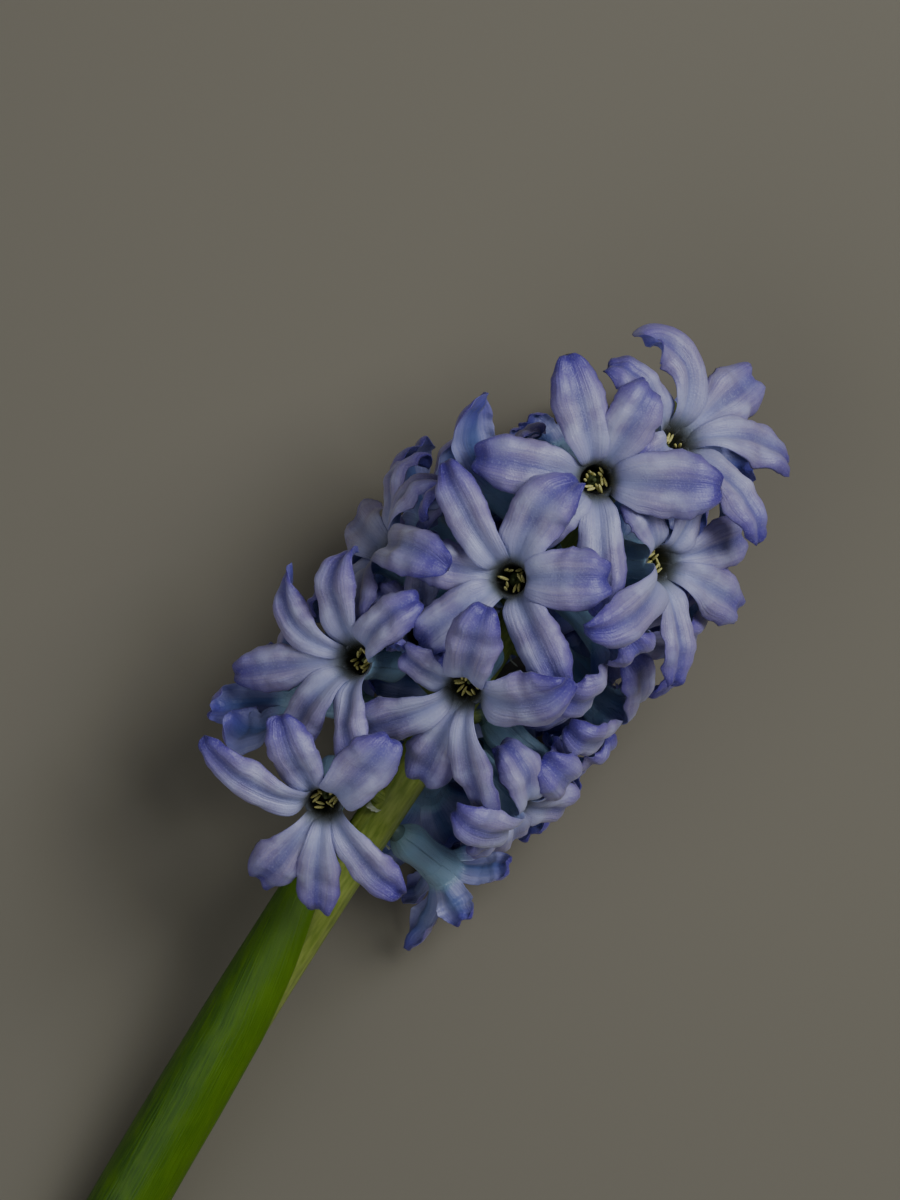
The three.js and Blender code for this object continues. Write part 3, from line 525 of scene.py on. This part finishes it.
# ---- Florets ----------------------------------------------------------------------------------------------
# Each floret is one piece: a swollen, glossy tube with six shallow furrows, which opens into six fleshy
# tepals. A tepal has a groove down its midrib, ruffled margins and a dark violet tip that is hooded and
# hooked. They spread and roll back, and each bends aside where its neighbours in the head press on it.
MOUTH_RADIUS = 3.4
THROAT_RADIUS = 2.5  # inside, at the mouth
TUBE_SIDES = 60
FURROW = 0.035  # half of the depth of the tube's furrows, as a share of its radius
TEPALS = 6
TEPAL_LENGTH = 19.5
TEPAL_WIDTH = 8.8
TEPAL_THICK = 0.9
OVERLAP = 1.4  # of its half of the way to the next tepal, that a tepal may take up
FLARE = 20  # pitch of a tepal's root from the floret's axis
LAYERS = (-0.45, 0.35)  # shift of the outer three tepals and of the inner three where they overlap
HOOK = 48  # how much further than in the solid a tepal's tip rolls back
RIB_STEPS = 40
SOLID_STEPS = 24  # of the midrib's curve in the solid
TIP_MATCH = 0.03  # at most, from a tepal's tip to its corner of the solid
ROOT_DEPTHS = np.array((-3.0, -2.0, -1.0))  # of the points of a tepal's root in the tube's wall
ROOT_WIDTHS = np.array((0.85, 0.9, 0.95))  # there, as shares of the width at the mouth
WELD = 0.002  # between points that are merged
# A tepal that would cut its neighbour is changed in open, tip and bend, and in its share of the length.
SHARES = (1, 0.9, 0.8, 0.7, 0.6, 0.5, 0.4)
SMALL_CHANGES = ((0, 0, 0), (-9, 0, 0), (9, 0, 0), (0, 0, 14), (0, 0, -14), (-18, -10, 0), (18, 20, 0))
LARGE_CHANGES = ((-9, 0, 24), (-9, 0, -24), (9, 20, 24), (9, 20, -24),
                 (-30, -30, 0), (30, 30, 0), (-45, -60, 0), (45, 50, 0))
DODGES = [
    (*change, share) for changes in (SMALL_CHANGES, LARGE_CHANGES) for share in SHARES for change in changes
]

tepal_skin, tree, shader = skin("tepal")
place = step(tree, "ShaderNodeTexCoord", output="Object")
along = mark(tree, "along")
aside = mark(tree, "aside")
seed = mark(tree, "seed")
within = mark(tree, "front").smooth(-0.2, 0.2)
off_middle = aside.size()
wander = cloud(tree, joined(tree, along * 3.0, aside * 2.0, 0.0), 1.0, 3.0, seed) - 0.5
veins = cloud(tree, joined(tree, along * 0.9, aside * 9.0, 5.0), 1.0, 2.0, seed)
fine_veins = cloud(tree, joined(tree, along * 1.6, aside * 26.0, 8.0), 1.0, 1.0, seed)
cells = cloud(tree, place, 3200.0, 2.0)
highlight_patches = cloud(tree, place, 230.0, 3.0)
midrib = (off_middle + wander * 0.25).smooth(0.42, 0.0)
far = (along + wander * 0.3).smooth(0.48, 0.98)
# The throat and the upper faces of the tepals.
inner = blend(tree, veins.smooth(0.35, 0.68) * 0.45, (0.49, 0.415, 0.63), (0.225, 0.185, 0.44))
inner = blend(tree, fine_veins.smooth(0.4, 0.62) * 0.28, inner, (0.19, 0.16, 0.50))
# Random pale bluish patches are painted highlights on the tepals' upper faces.
inner = blend(tree, highlight_patches.smooth(0.42, 0.68) * 0.55, inner, (0.72, 0.74, 1.0))
inner = blend(tree, off_middle.smooth(0.55, 1.0) * 0.35, inner, (0.38, 0.28, 0.66))
inner = blend(tree, off_middle.smooth(0.86, 1.0) * 0.6, inner, (0.13, 0.08, 0.40))
inner = blend(tree, midrib * 0.6, inner, (0.09, 0.10, 0.38))
inner = blend(tree, far * 0.8, inner, (0.13, 0.08, 0.50))
inner = blend(tree, off_middle.smooth(0.7, 1.0) * far * 0.7, inner, (0.08, 0.04, 0.36))
inner = blend(tree, (along + wander * 0.2).smooth(0.80, 1.0) * 0.85, inner, (0.055, 0.025, 0.32))
inner = blend(tree, along.smooth(0.48, 0.18) * 0.5, inner, (0.60, 0.64, 0.92))
# Painted shade: the tepals' bases round the throat turn greenish grey, and the throat itself near black, as
# shade in the hollow.
inner = blend(tree, along.smooth(0.17, 0.02) * 0.75, inner, (0.14, 0.17, 0.13))
inner = blend(tree, along.smooth(0.10, -0.06), inner, (0.020, 0.024, 0.011))
# Fine pale flecks from the cell grain are painted sparkle: tiny painted glints.
inner = blend(tree, cells.smooth(0.5, 0.7) * along.smooth(0.1, 0.3) * 0.16, inner, (0.75, 0.75, 0.98))
# The tube and the backs of the tepals.
band = (off_middle + wander * 0.3).smooth(0.62, 0.05)
outer = blend(tree, veins.smooth(0.35, 0.7) * 0.5, (0.46, 0.46, 0.76), (0.24, 0.26, 0.60))
outer = blend(tree, band * 0.75, outer, (0.07, 0.14, 0.40))
outer = blend(tree, far * 0.8, outer, (0.09, 0.06, 0.42))
outer = blend(tree, along.smooth(0.22, 0.0) * 0.85, outer, (0.40, 0.62, 0.76))
outer = blend(tree, along.smooth(-0.48, -0.64) * 0.6, outer, (0.20, 0.36, 0.34))
plug(tree, shader.inputs["Base Color"], blend(tree, within, outer, inner))
glossy = (within * -1.0 + 1.0) * along.smooth(0.25, 0.0)
plug(tree, shader.inputs["Roughness"], cells * 0.2 + 0.31 - glossy * 0.24)
shader.inputs["Subsurface Weight"].default_value = 0.14
shader.inputs["Subsurface Radius"].default_value = (0.7, 0.75, 1.0)
shader.inputs["Subsurface Scale"].default_value = 1.2 * mm
shader.inputs["Sheen Weight"].default_value = 0.2
shader.inputs["Sheen Roughness"].default_value = 0.4
shader.inputs["Specular IOR Level"].default_value = 0.75
relief(tree, shader, veins * 0.55 + fine_veins * 0.2 + cells * 0.3, 0.3 * mm)


def gathered(tree, *shapes):
    """Several geometries as one."""
    made = tree.nodes.new("GeometryNodeJoinGeometry")
    for shape in shapes:
        tree.links.new(shape.socket, made.inputs[0])
    return Wire(tree, made.outputs[0])


def moved(tree, start, *shifts):
    """A place, shifted along each of some directions by its amount."""
    for direction, amount in shifts:
        scaled = step(tree, "ShaderNodeVectorMath", {0: direction, "Scale": amount}, operation="SCALE")
        start = step(tree, "ShaderNodeVectorMath", {0: start, 1: scaled}, operation="ADD")
    return start


# The faces of the tube pass through, and a blade is swept on each rib, whose marks say how it spreads.
blades, given = shape_tree(
    "blades on ribs", Sides=26, Thickness=TEPAL_THICK * mm, Groove=1.3 * mm, Ruffle=5 * mm, Crimp=1.8 * mm,
    Roll=0.3, Hood=0.9, Material=tepal_skin,
)
on_rib = named(blades, "rib").sum("GREATER_THAN", 0.5)
parted = blades.nodes.new("GeometryNodeSeparateGeometry")
plug(blades, parted.inputs["Geometry"], given["Geometry"])
plug(blades, parted.inputs["Selection"], on_rib)
line = step(blades, "GeometryNodeMeshToCurve", {"Mesh": Wire(blades, parted.outputs["Selection"])})
line = store(blades, line, "middle", step(blades, "GeometryNodeInputPosition"), "FLOAT_VECTOR")
circle = step(blades, "GeometryNodeCurvePrimitiveCircle", {"Resolution": given["Sides"], "Radius": 1.0})
spot = step(blades, "GeometryNodeInputPosition")
circle = store(blades, circle, "sideways", step(blades, "ShaderNodeSeparateXYZ", {0: spot}, output="X"))
circle = store(blades, circle, "upwards", step(blades, "ShaderNodeSeparateXYZ", {0: spot}, output="Y"))
swept = step(blades, "GeometryNodeCurveToMesh", {"Curve": line, "Profile Curve": circle, "Fill Caps": True})
sideways = named(blades, "sideways")
upwards = named(blades, "upwards")
swept = store(blades, swept, "aside", sideways)
swept = store(blades, swept, "front", upwards)
along = named(blades, "along")
half = named(blades, "half")
seed = named(blades, "seed")
# A blade is cupped at its root, arched the other way further out and hooded at its tip. It has a groove on
# its midrib, where rim is 0, and ripples that grow towards its margins, where rim is 1.
rim = sideways * sideways
outline = cloud(blades, joined(blades, along * 6.0, sideways, 0.0), 1.0, 2.0, seed) - 0.5
half_here = half * (outline * along.smooth(0.1, 0.4) * 0.4 + 1.0)
cup = along.smooth(0.0, 0.5) * -0.5 + 0.3 + along.smooth(0.86, 1.0) * given["Hood"]
rolled = rim * rim * along.smooth(0.15, 0.6) * given["Roll"]
groove = ((rim * -8.0).sum("EXPONENT") - 0.4) * along.smooth(0.0, 0.25)
groove = groove * along.smooth(1.0, 0.85) * given["Groove"]
ripple = cloud(blades, joined(blades, along * 4.2, sideways * 0.7, 7.0), 1.0, 1.0, seed) - 0.5
ripple = ripple * given["Ruffle"]
crimp = cloud(blades, joined(blades, along * 7.0, sideways * 1.2, 3.0), 1.0, 1.0, seed) - 0.5
crimp = crimp * given["Crimp"]
unrest = ripple * (rim * 0.65 + 0.35) * along.smooth(0.2, 0.6) + crimp * along.smooth(0.7, 0.95)
rise = half * (rim * cup - rolled) - groove + unrest * along.smooth(1.0, 0.92)
thick = upwards * (upwards * upwards * 0.45 + 0.55) * given["Thickness"] * 0.5 * along.smooth(1.0, 0.9)
wide = sideways * half_here * (rim * along.smooth(0.15, 0.6) * -0.08 + 1.0)
spot = moved(
    blades, named(blades, "middle", "FLOAT_VECTOR"),
    (named(blades, "across", "FLOAT_VECTOR"), wide),
    (named(blades, "face", "FLOAT_VECTOR"), rise + thick),
)
# No blade goes below the surface that the flower lies on.
spot = step(blades, "ShaderNodeVectorMath", {0: spot, 1: (-9.0, -9.0, 0.0)}, operation="MAXIMUM")
swept = step(blades, "GeometryNodeSetPosition", {"Geometry": swept, "Position": spot})
whole = gathered(blades, Wire(blades, parted.outputs["Inverted"]), swept)
whole = step(blades, "GeometryNodeMergeByDistance", {"Geometry": whole, "Distance": WELD * mm})
end_tree(blades, whole, given["Material"])


def chance(first, second):
    """The same number from -1 to 1 for the same pair every time."""
    wave = math.sin(first * 12.9898 + second * 78.233) * 43758.5453
    return 2 * (wave - math.floor(wave)) - 1


def tepal_shapes(row, number):
    """The six tepals of a floret, in order round it, each with the half angle to its nearer neighbour."""
    tepals = row.get("tepals") or [
        (
            row["turn"] + 360 / TEPALS * k + 6 * chance(number, k),
            TEPAL_LENGTH * (1 + 0.06 * chance(number, k + 10)),
            TEPAL_WIDTH * (1 + (0.06 if k % 2 else -0.06)),
            row["open"] + (-4 if k % 2 else 4) + 6 * chance(number, k + 20),
            row["tip"] + (-6 if k % 2 else 6) + 14 * chance(number, k + 30),
            10 * chance(number, k + 40),
            18 * chance(number, k + 50),
        )
        for k in range(TEPALS)
    ]
    tepals = sorted(tepals)
    angles = [tepal[0] for tepal in tepals]
    gaps = [after - angle for angle, after in zip(angles, angles[1:] + [angles[0] + 360])]
    return [(tepal, min(gaps[k], gaps[k - 1]) / 2) for k, tepal in enumerate(tepals)]


def rib(floret, tepal, room, dodge, steps, hook=0):
    """A tepal's midrib, as places, directions across it and out of its upper face, and half widths. Hook is
    how much further its last quarter rolls back."""
    mouth, axis, zero, quarter = floret
    angle, length, width, opened, tip, bend, twist = tepal
    opened, tip, bend, length = opened + dodge[0], tip + dodge[1], bend + dodge[2], length * dodge[3]
    out = zero * math.cos(math.radians(angle)) + quarter * math.sin(math.radians(angle))
    across = np.cross(axis, out)

    def ways(share):
        spread = FLARE + (opened - FLARE) * ease(share / 0.34)
        rolled = (tip - opened) * np.clip((share - 0.3) / 0.7, 0, 1) ** 1.5
        hooked = hook * np.clip((share - 0.72) / 0.28, 0, 1) ** 1.3
        pitch = np.radians(spread + rolled + hooked)[:, None]
        yaw = np.radians(bend * share * share)[:, None]
        roll = np.radians(twist * share * share)[:, None]
        ahead = axis * np.cos(pitch) + out * np.sin(pitch)
        face = axis * np.sin(pitch) - out * np.cos(pitch)
        level = across * np.cos(yaw) - ahead * np.sin(yaw)
        forward = ahead * np.cos(yaw) + across * np.sin(yaw)
        turned = level * np.cos(roll) + face * np.sin(roll)
        return forward, turned, face * np.cos(roll) - level * np.sin(roll)

    share = np.arange(steps + 1) / steps
    forward = ways(share[1:] - 0.5 / steps)[0]
    start = mouth + out * (MOUTH_RADIUS + THROAT_RADIUS) / 2
    places = start + np.vstack([np.zeros(3), np.cumsum(forward, axis=0)]) * length / steps
    _, across_at, face_at = ways(share)
    closing = (1 - np.clip((share - 0.5) / 0.5, 0, 1) ** 3) ** 0.62
    from_axis = np.linalg.norm(np.cross(places - mouth, axis), axis=1)
    allowed = from_axis * math.sin(math.radians(room)) * OVERLAP
    half = np.minimum(width / 2 * mix(0.6, 1, ease(share / 0.6)) * closing, allowed)
    cup = half * mix(0.3, -0.2, ease(share / 0.5))
    lowest = np.minimum(places[:, 2] - TEPAL_THICK / 2 * np.abs(face_at[:, 2]),
                        (places + face_at * cup[:, None])[:, 2] - half * np.abs(across_at[:, 2]))
    lowest[-1] = places[-1, 2] - TEPAL_THICK / 2
    places[:, 2] += np.maximum(0, -lowest)
    return places, across_at, face_at, half


def chosen_dodge(floret, tepal, room, corners):
    """Which change of shape keeps the tepal clear of its neighbours: the one whose tip the solid has."""
    for dodge in DODGES:
        tip = rib(floret, tepal, room, dodge, SOLID_STEPS)[0][-1]
        if corners.find((tip + TO_PART) * mm)[2] < TIP_MATCH * mm:
            return dodge
    raise ValueError("no tepal of the solid ends where one should")


# The tube's outline, as (radius, height above the mouth): up its outside from the base to the rim, and over
# the rim down its throat.
TUBE_OUTSIDE = [
    (0, -TUBE_LENGTH), (1.2, -12.45), (1.7, -12.2), (2.2, -11.5), (2.75, -10.6), (3.15, -9.5), (3.2, -8.5),
    (3.05, -7), (2.85, -5.6), (2.82, -4.4), (2.92, -3), (3.08, -1.8), (3.25, -0.8), (3.38, -0.1),
    (3.36, 0.2),
]
TUBE_INSIDE = [
    (3.1, 0.4), (2.75, 0.35), (2.55, 0.05), (2.45, -0.6), (2.3, -1.6), (2.1, -3), (1.85, -4.4), (1.5, -4.95),
    (0, -5),
]


def floret_mesh(name, row, number):
    """A floret's tube as faces, and its tepals' midribs as open lines."""
    floret = floret_place(row)
    mouth, axis, zero, quarter = floret
    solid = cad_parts["floret_" + name].data
    corners = kdtree.KDTree(len(solid.vertices))
    for i, vertex in enumerate(solid.vertices):
        corners.insert(vertex.co, i)
    corners.balance()
    shapes = tepal_shapes(row, number)
    angles = np.array([tepal[0] for tepal, _ in shapes])

    turns = np.arange(TUBE_SIDES) * 360 / TUBE_SIDES
    offsets = (turns[:, None] - angles + 180) % 360 - 180
    nearest = np.abs(offsets).argmin(axis=1)
    rooms = np.array([room for _, room in shapes])[nearest]
    aside = np.clip(offsets[np.arange(TUBE_SIDES), nearest] / rooms, -1, 1)
    points, marks = [], {}
    for k, (radius, height) in enumerate(TUBE_OUTSIDE + TUBE_INSIDE):
        outside = k < len(TUBE_OUTSIDE)
        furrow = 1 + FURROW * (np.cos(math.pi * aside) - 0.4) * outside
        ring = mouth + axis * height + radius * furrow[:, None] * (
            zero * np.cos(np.radians(turns))[:, None] + quarter * np.sin(np.radians(turns))[:, None])
        points.append(ring)
        add_marks(
            marks, TUBE_SIDES, rib=0, along=height / TEPAL_LENGTH, aside=aside, front=-1 if outside else 1,
            half=0, seed=number, across=(0, 0, 0), face=(0, 0, 0),
        )
    faces = ring_faces(len(TUBE_OUTSIDE + TUBE_INSIDE), TUBE_SIDES)

    edges = []
    for k, (tepal, room) in enumerate(shapes):
        dodge = chosen_dodge(floret, tepal, room, corners)
        hook = HOOK * (1 + chance(number, k + 60))
        places, across, face, half = rib(floret, tepal, room, dodge, RIB_STEPS, hook)
        share = np.arange(RIB_STEPS + 1) / RIB_STEPS
        places += face * (LAYERS[k % 2] * ease(share / 0.15) * (1 - ease((share - 0.35) / 0.25)))[:, None]
        out = unit(places[0] - mouth)
        root = np.array([places[0] + axis * depth + out * depth * 0.12 for depth in ROOT_DEPTHS])
        count = len(root) + len(places)
        first = sum(len(line) for line in points)
        edges += [(i, i + 1) for i in range(first, first + count - 1)]
        points.append(np.vstack([root, places]))
        add_marks(
            marks, count, rib=1, along=np.append(ROOT_DEPTHS / TEPAL_LENGTH, share), aside=0, front=0,
            half=np.append(half[0] * ROOT_WIDTHS, half) * mm, seed=number + 40 * k,
            across=np.vstack([[across[0]] * len(root), across]),
            face=np.vstack([[face[0]] * len(root), face]),
        )
    return net("bloom_" + name, points, edges, faces, **marks)


for number, (name, row) in enumerate(FLORETS.items()):
    bloom = grown("bloom_" + name, floret_mesh(name, row, number), blades, tepal_skin)
    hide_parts("floret_" + name)
    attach(bloom, "root")

# ---- Stamens ----------------------------------------------------------------------------------------------
# Six anthers in a ring in each throat, pale yellow, mealy with pollen and lying every way, round a greenish
# pistil that stands on the throat's floor. Their short filaments are hidden below them and are left out.
ANTHERS = 6
ANTHER_RING = 1.45  # radius of the ring that they stand in
ANTHER_LENGTH = 1.8
ANTHER_WIDTH = 0.5
ANTHER_DEPTH = 1  # below the mouth, as the depths of the pistil's parts
OVARY_RADIUS = 1.3
OVARY_DEPTH = 3.6
STYLE_RADIUS = 0.3
STYLE_LENGTH = 2
STYLE_DEPTH = 2.4

anther_skin, tree, shader = skin("anther")
place = step(tree, "ShaderNodeTexCoord", output="Object")
grains = cloud(tree, place, 5200.0, 2.0)
yellow = blend(tree, grains.smooth(0.35, 0.65), (0.68, 0.62, 0.15), (0.98, 0.92, 0.38))
plug(tree, shader.inputs["Base Color"], blend(tree, mark(tree, "pistil"), yellow, (0.13, 0.17, 0.06)))
shader.inputs["Roughness"].default_value = 0.85
relief(tree, shader, grains, 0.1 * mm)

anthers, given = shape_tree(
    "ring of anthers", Ring=ANTHER_RING * mm, Length=ANTHER_LENGTH * mm, Width=ANTHER_WIDTH * mm, Seed=0,
    Place=(0.0, 0.0, 0.0), Turn=(0.0, 0.0, 0.0), Material=anther_skin,
)
# An anther is two pollen sacs side by side.
pollen_sac = step(anthers, "GeometryNodeMeshUVSphere", {"Segments": 10, "Rings": 8, "Radius": 0.5})
sacs = []
for side in (-0.36, 0.36):
    size = joined(anthers, given["Width"], given["Width"], given["Length"])
    shift = joined(anthers, given["Width"] * side * 2.0, 0.0, 0.0)
    turned = (0.0, side * 0.35, 0.0)
    sac = step(anthers, "GeometryNodeTransform", {"Geometry": pollen_sac, "Scale": size})
    sac = step(anthers, "GeometryNodeTransform", {"Geometry": sac, "Translation": shift, "Rotation": turned})
    sacs.append(sac)
circle = step(anthers, "GeometryNodeMeshCircle", {"Vertices": ANTHERS, "Radius": given["Ring"]})
strays = step(anthers, "FunctionNodeRandomValue", {
    "Min": (-0.25 * mm, -0.25 * mm, -0.6 * mm), "Max": (0.25 * mm, 0.25 * mm, 0.3 * mm),
    "Seed": given["Seed"],
}, data_type="FLOAT_VECTOR")
circle = step(anthers, "GeometryNodeSetPosition", {"Geometry": circle, "Offset": strays})
turns = step(anthers, "FunctionNodeRandomValue", {
    "Min": (-1.1, -1.1, -3.1), "Max": (1.1, 1.1, 3.1), "Seed": given["Seed"] + 31,
}, data_type="FLOAT_VECTOR")
ring = step(anthers, "GeometryNodeInstanceOnPoints", {
    "Points": circle, "Instance": gathered(anthers, *sacs),
    "Rotation": step(anthers, "FunctionNodeEulerToRotation", {0: turns}),
})
ring = step(anthers, "GeometryNodeTransform", {
    "Geometry": ring, "Translation": (0.0, 0.0, -ANTHER_DEPTH * mm),
})
ring = step(anthers, "GeometryNodeRealizeInstances", {"Geometry": ring})
ring = store(anthers, ring, "pistil", 0.0)
ovary = step(anthers, "GeometryNodeMeshUVSphere", {
    "Segments": 16, "Rings": 10, "Radius": OVARY_RADIUS * mm,
})
ovary = step(anthers, "GeometryNodeTransform", {
    "Geometry": ovary, "Translation": (0.0, 0.0, -OVARY_DEPTH * mm),
})
style = step(anthers, "GeometryNodeMeshCylinder", {
    "Vertices": 12, "Radius": STYLE_RADIUS * mm, "Depth": STYLE_LENGTH * mm,
})
style = step(anthers, "GeometryNodeTransform", {
    "Geometry": style, "Translation": (0.0, 0.0, -STYLE_DEPTH * mm),
})
pistil = store(anthers, gathered(anthers, ovary, style), "pistil", 1.0)
turned = step(anthers, "FunctionNodeEulerToRotation", {0: given["Turn"]})
whole = step(anthers, "GeometryNodeTransform", {
    "Geometry": gathered(anthers, ring, pistil), "Translation": given["Place"], "Rotation": turned,
})
end_tree(anthers, whole, given["Material"])

for number, (name, row) in enumerate(FLORETS.items()):
    mouth, axis, zero, quarter = floret_place(row)
    turn = Matrix((zero, quarter, axis)).transposed().to_euler()
    stamens = grown(
        "anthers_" + name, bpy.data.meshes.new("start"), anthers, anther_skin,
        Seed=number, Place=tuple((mouth + TO_PART) * mm), Turn=tuple(turn),
    )
    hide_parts("stamens_" + name)
    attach(stamens, "root")

# ---- Bracts -----------------------------------------------------------------------------------------------
# A thin, pale, membranous scale stands under each stalk where it leaves the stem, short and pointed. It
# grows from the stem's skin. Its blade is made as a tepal's is, without the groove and the roll.
BRACT_POINTS = 13
BRACT_HALF = 1.3  # half of its width
BRACT_THICK = 0.2

bract_skin, tree, shader = skin("bract")
place = step(tree, "ShaderNodeTexCoord", output="Object")
papery = cloud(tree, place, 900.0, 3.0)
pale = blend(tree, papery.smooth(0.35, 0.7), (0.55, 0.58, 0.38), (0.78, 0.78, 0.68))
plug(tree, shader.inputs["Base Color"], pale)
shader.inputs["Roughness"].default_value = 0.45
shader.inputs["Subsurface Weight"].default_value = 0.3
shader.inputs["Subsurface Radius"].default_value = (1.0, 1.0, 0.7)
shader.inputs["Subsurface Scale"].default_value = 1.0 * mm
relief(tree, shader, papery, 0.2 * mm)

# Each starts inside the stem, below its stalk, and leans out further towards its tip.
lines, marks = [], {}
share = np.arange(BRACT_POINTS) / (BRACT_POINTS - 1)
lean = np.radians(25 + 25 * share)[:, None]
for number, row in enumerate(FLORETS.values()):
    foot = stalk_line(row)[0]
    forward = stem_ways(foot[0])[0]
    radial = outward(foot[0], row["round"])
    root = foot + radial * stem_radius(foot[0]) * 0.45 - forward * 1.6
    path = -forward * np.cos(lean) * 0.3 + radial * np.sin(lean) + forward * 0.1
    lines.append(root + np.cumsum(path, axis=0) * 0.32)
    add_marks(
        marks, BRACT_POINTS, rib=1, along=share, half=BRACT_HALF * mm * np.sqrt(1 - share**2), seed=number,
        across=np.cross(forward, radial), face=forward,
    )
bract_mesh = net("bracts", lines, open_lines(lines), **marks)
bracts = grown(
    "bracts", bract_mesh, blades, bract_skin,
    Sides=12, Thickness=BRACT_THICK * mm, Groove=0.0, Ruffle=0.8 * mm, Crimp=0.0, Roll=0.0,
)
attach(bracts, "root")

# ---- Floor, light and camera ------------------------------------------------------------------------------
# A plain pale floor, one soft light from the upper right of the view, a weaker and wider one from the lower
# left, and a camera straight above the flower head, turned so that the stem rises from the lower left.
CAMERA_HEIGHT = 750  # above the stem's centre line in the head
CAMERA_OVER = (30.85, 10.77)  # the place straight below it
CAMERA_TURN = -55
VIEW_HEIGHT = 193.55  # what the view takes in from top to bottom, at the stem's centre line
SENSOR = 36
FLOOR_SIZE = 6000

floor_skin, tree, shader = skin("floor")
place = step(tree, "ShaderNodeTexCoord", output="Object")
ground = blend(tree, cloud(tree, place, 3.0), (0.256, 0.229, 0.165), (0.290, 0.258, 0.190))
plug(tree, shader.inputs["Base Color"], ground)
shader.inputs["Roughness"].default_value = 0.9
bpy.ops.mesh.primitive_plane_add(size=FLOOR_SIZE * mm, location=(0, 0, 0))
floor = bpy.context.object
floor.name = "floor"
floor.data.materials.append(floor_skin)

view_right = Vector((math.cos(math.radians(CAMERA_TURN)), math.sin(math.radians(CAMERA_TURN)), 0))
view_up = Vector((-view_right.y, view_right.x, 0))
# Each lamp's place is in metres to the right and up in the view, and above the floor. Both face the middle.
for name, right, up, height, size, power in (
    ("key", 0.54, 0.33, 0.75, 0.5, 5.05),
    ("fill", -0.55, -0.35, 0.7, 1.0, 1.9),
):
    lamp = bpy.data.objects.new(name, bpy.data.lights.new(name, "AREA"))
    lamp.data.size = size
    lamp.data.energy = power
    lamp.data.color = (0.88, 0.92, 1.0)
    lamp.location = view_right * right + view_up * up + Vector((0, 0, height))
    lamp.rotation_euler = (-lamp.location).to_track_quat("-Z", "Y").to_euler()
    bpy.context.scene.collection.objects.link(lamp)

world = bpy.data.worlds.new("studio")
world.use_nodes = True
sky = world.node_tree.nodes["Background"]
sky.inputs["Color"].default_value = (0.80, 0.88, 1.0, 1)
sky.inputs["Strength"].default_value = 0.065
bpy.context.scene.world = world

camera = bpy.data.objects.new("camera", bpy.data.cameras.new("camera"))
camera.data.sensor_width = SENSOR
camera.data.lens = SENSOR * CAMERA_HEIGHT / VIEW_HEIGHT
over = Vector((*CAMERA_OVER, HEAD_HEIGHT + CAMERA_HEIGHT)) + Vector(TO_PART)
camera.location = over * mm
camera.rotation_euler = (0, 0, math.radians(CAMERA_TURN))
bpy.context.scene.collection.objects.link(camera)
bpy.context.scene.camera = camera
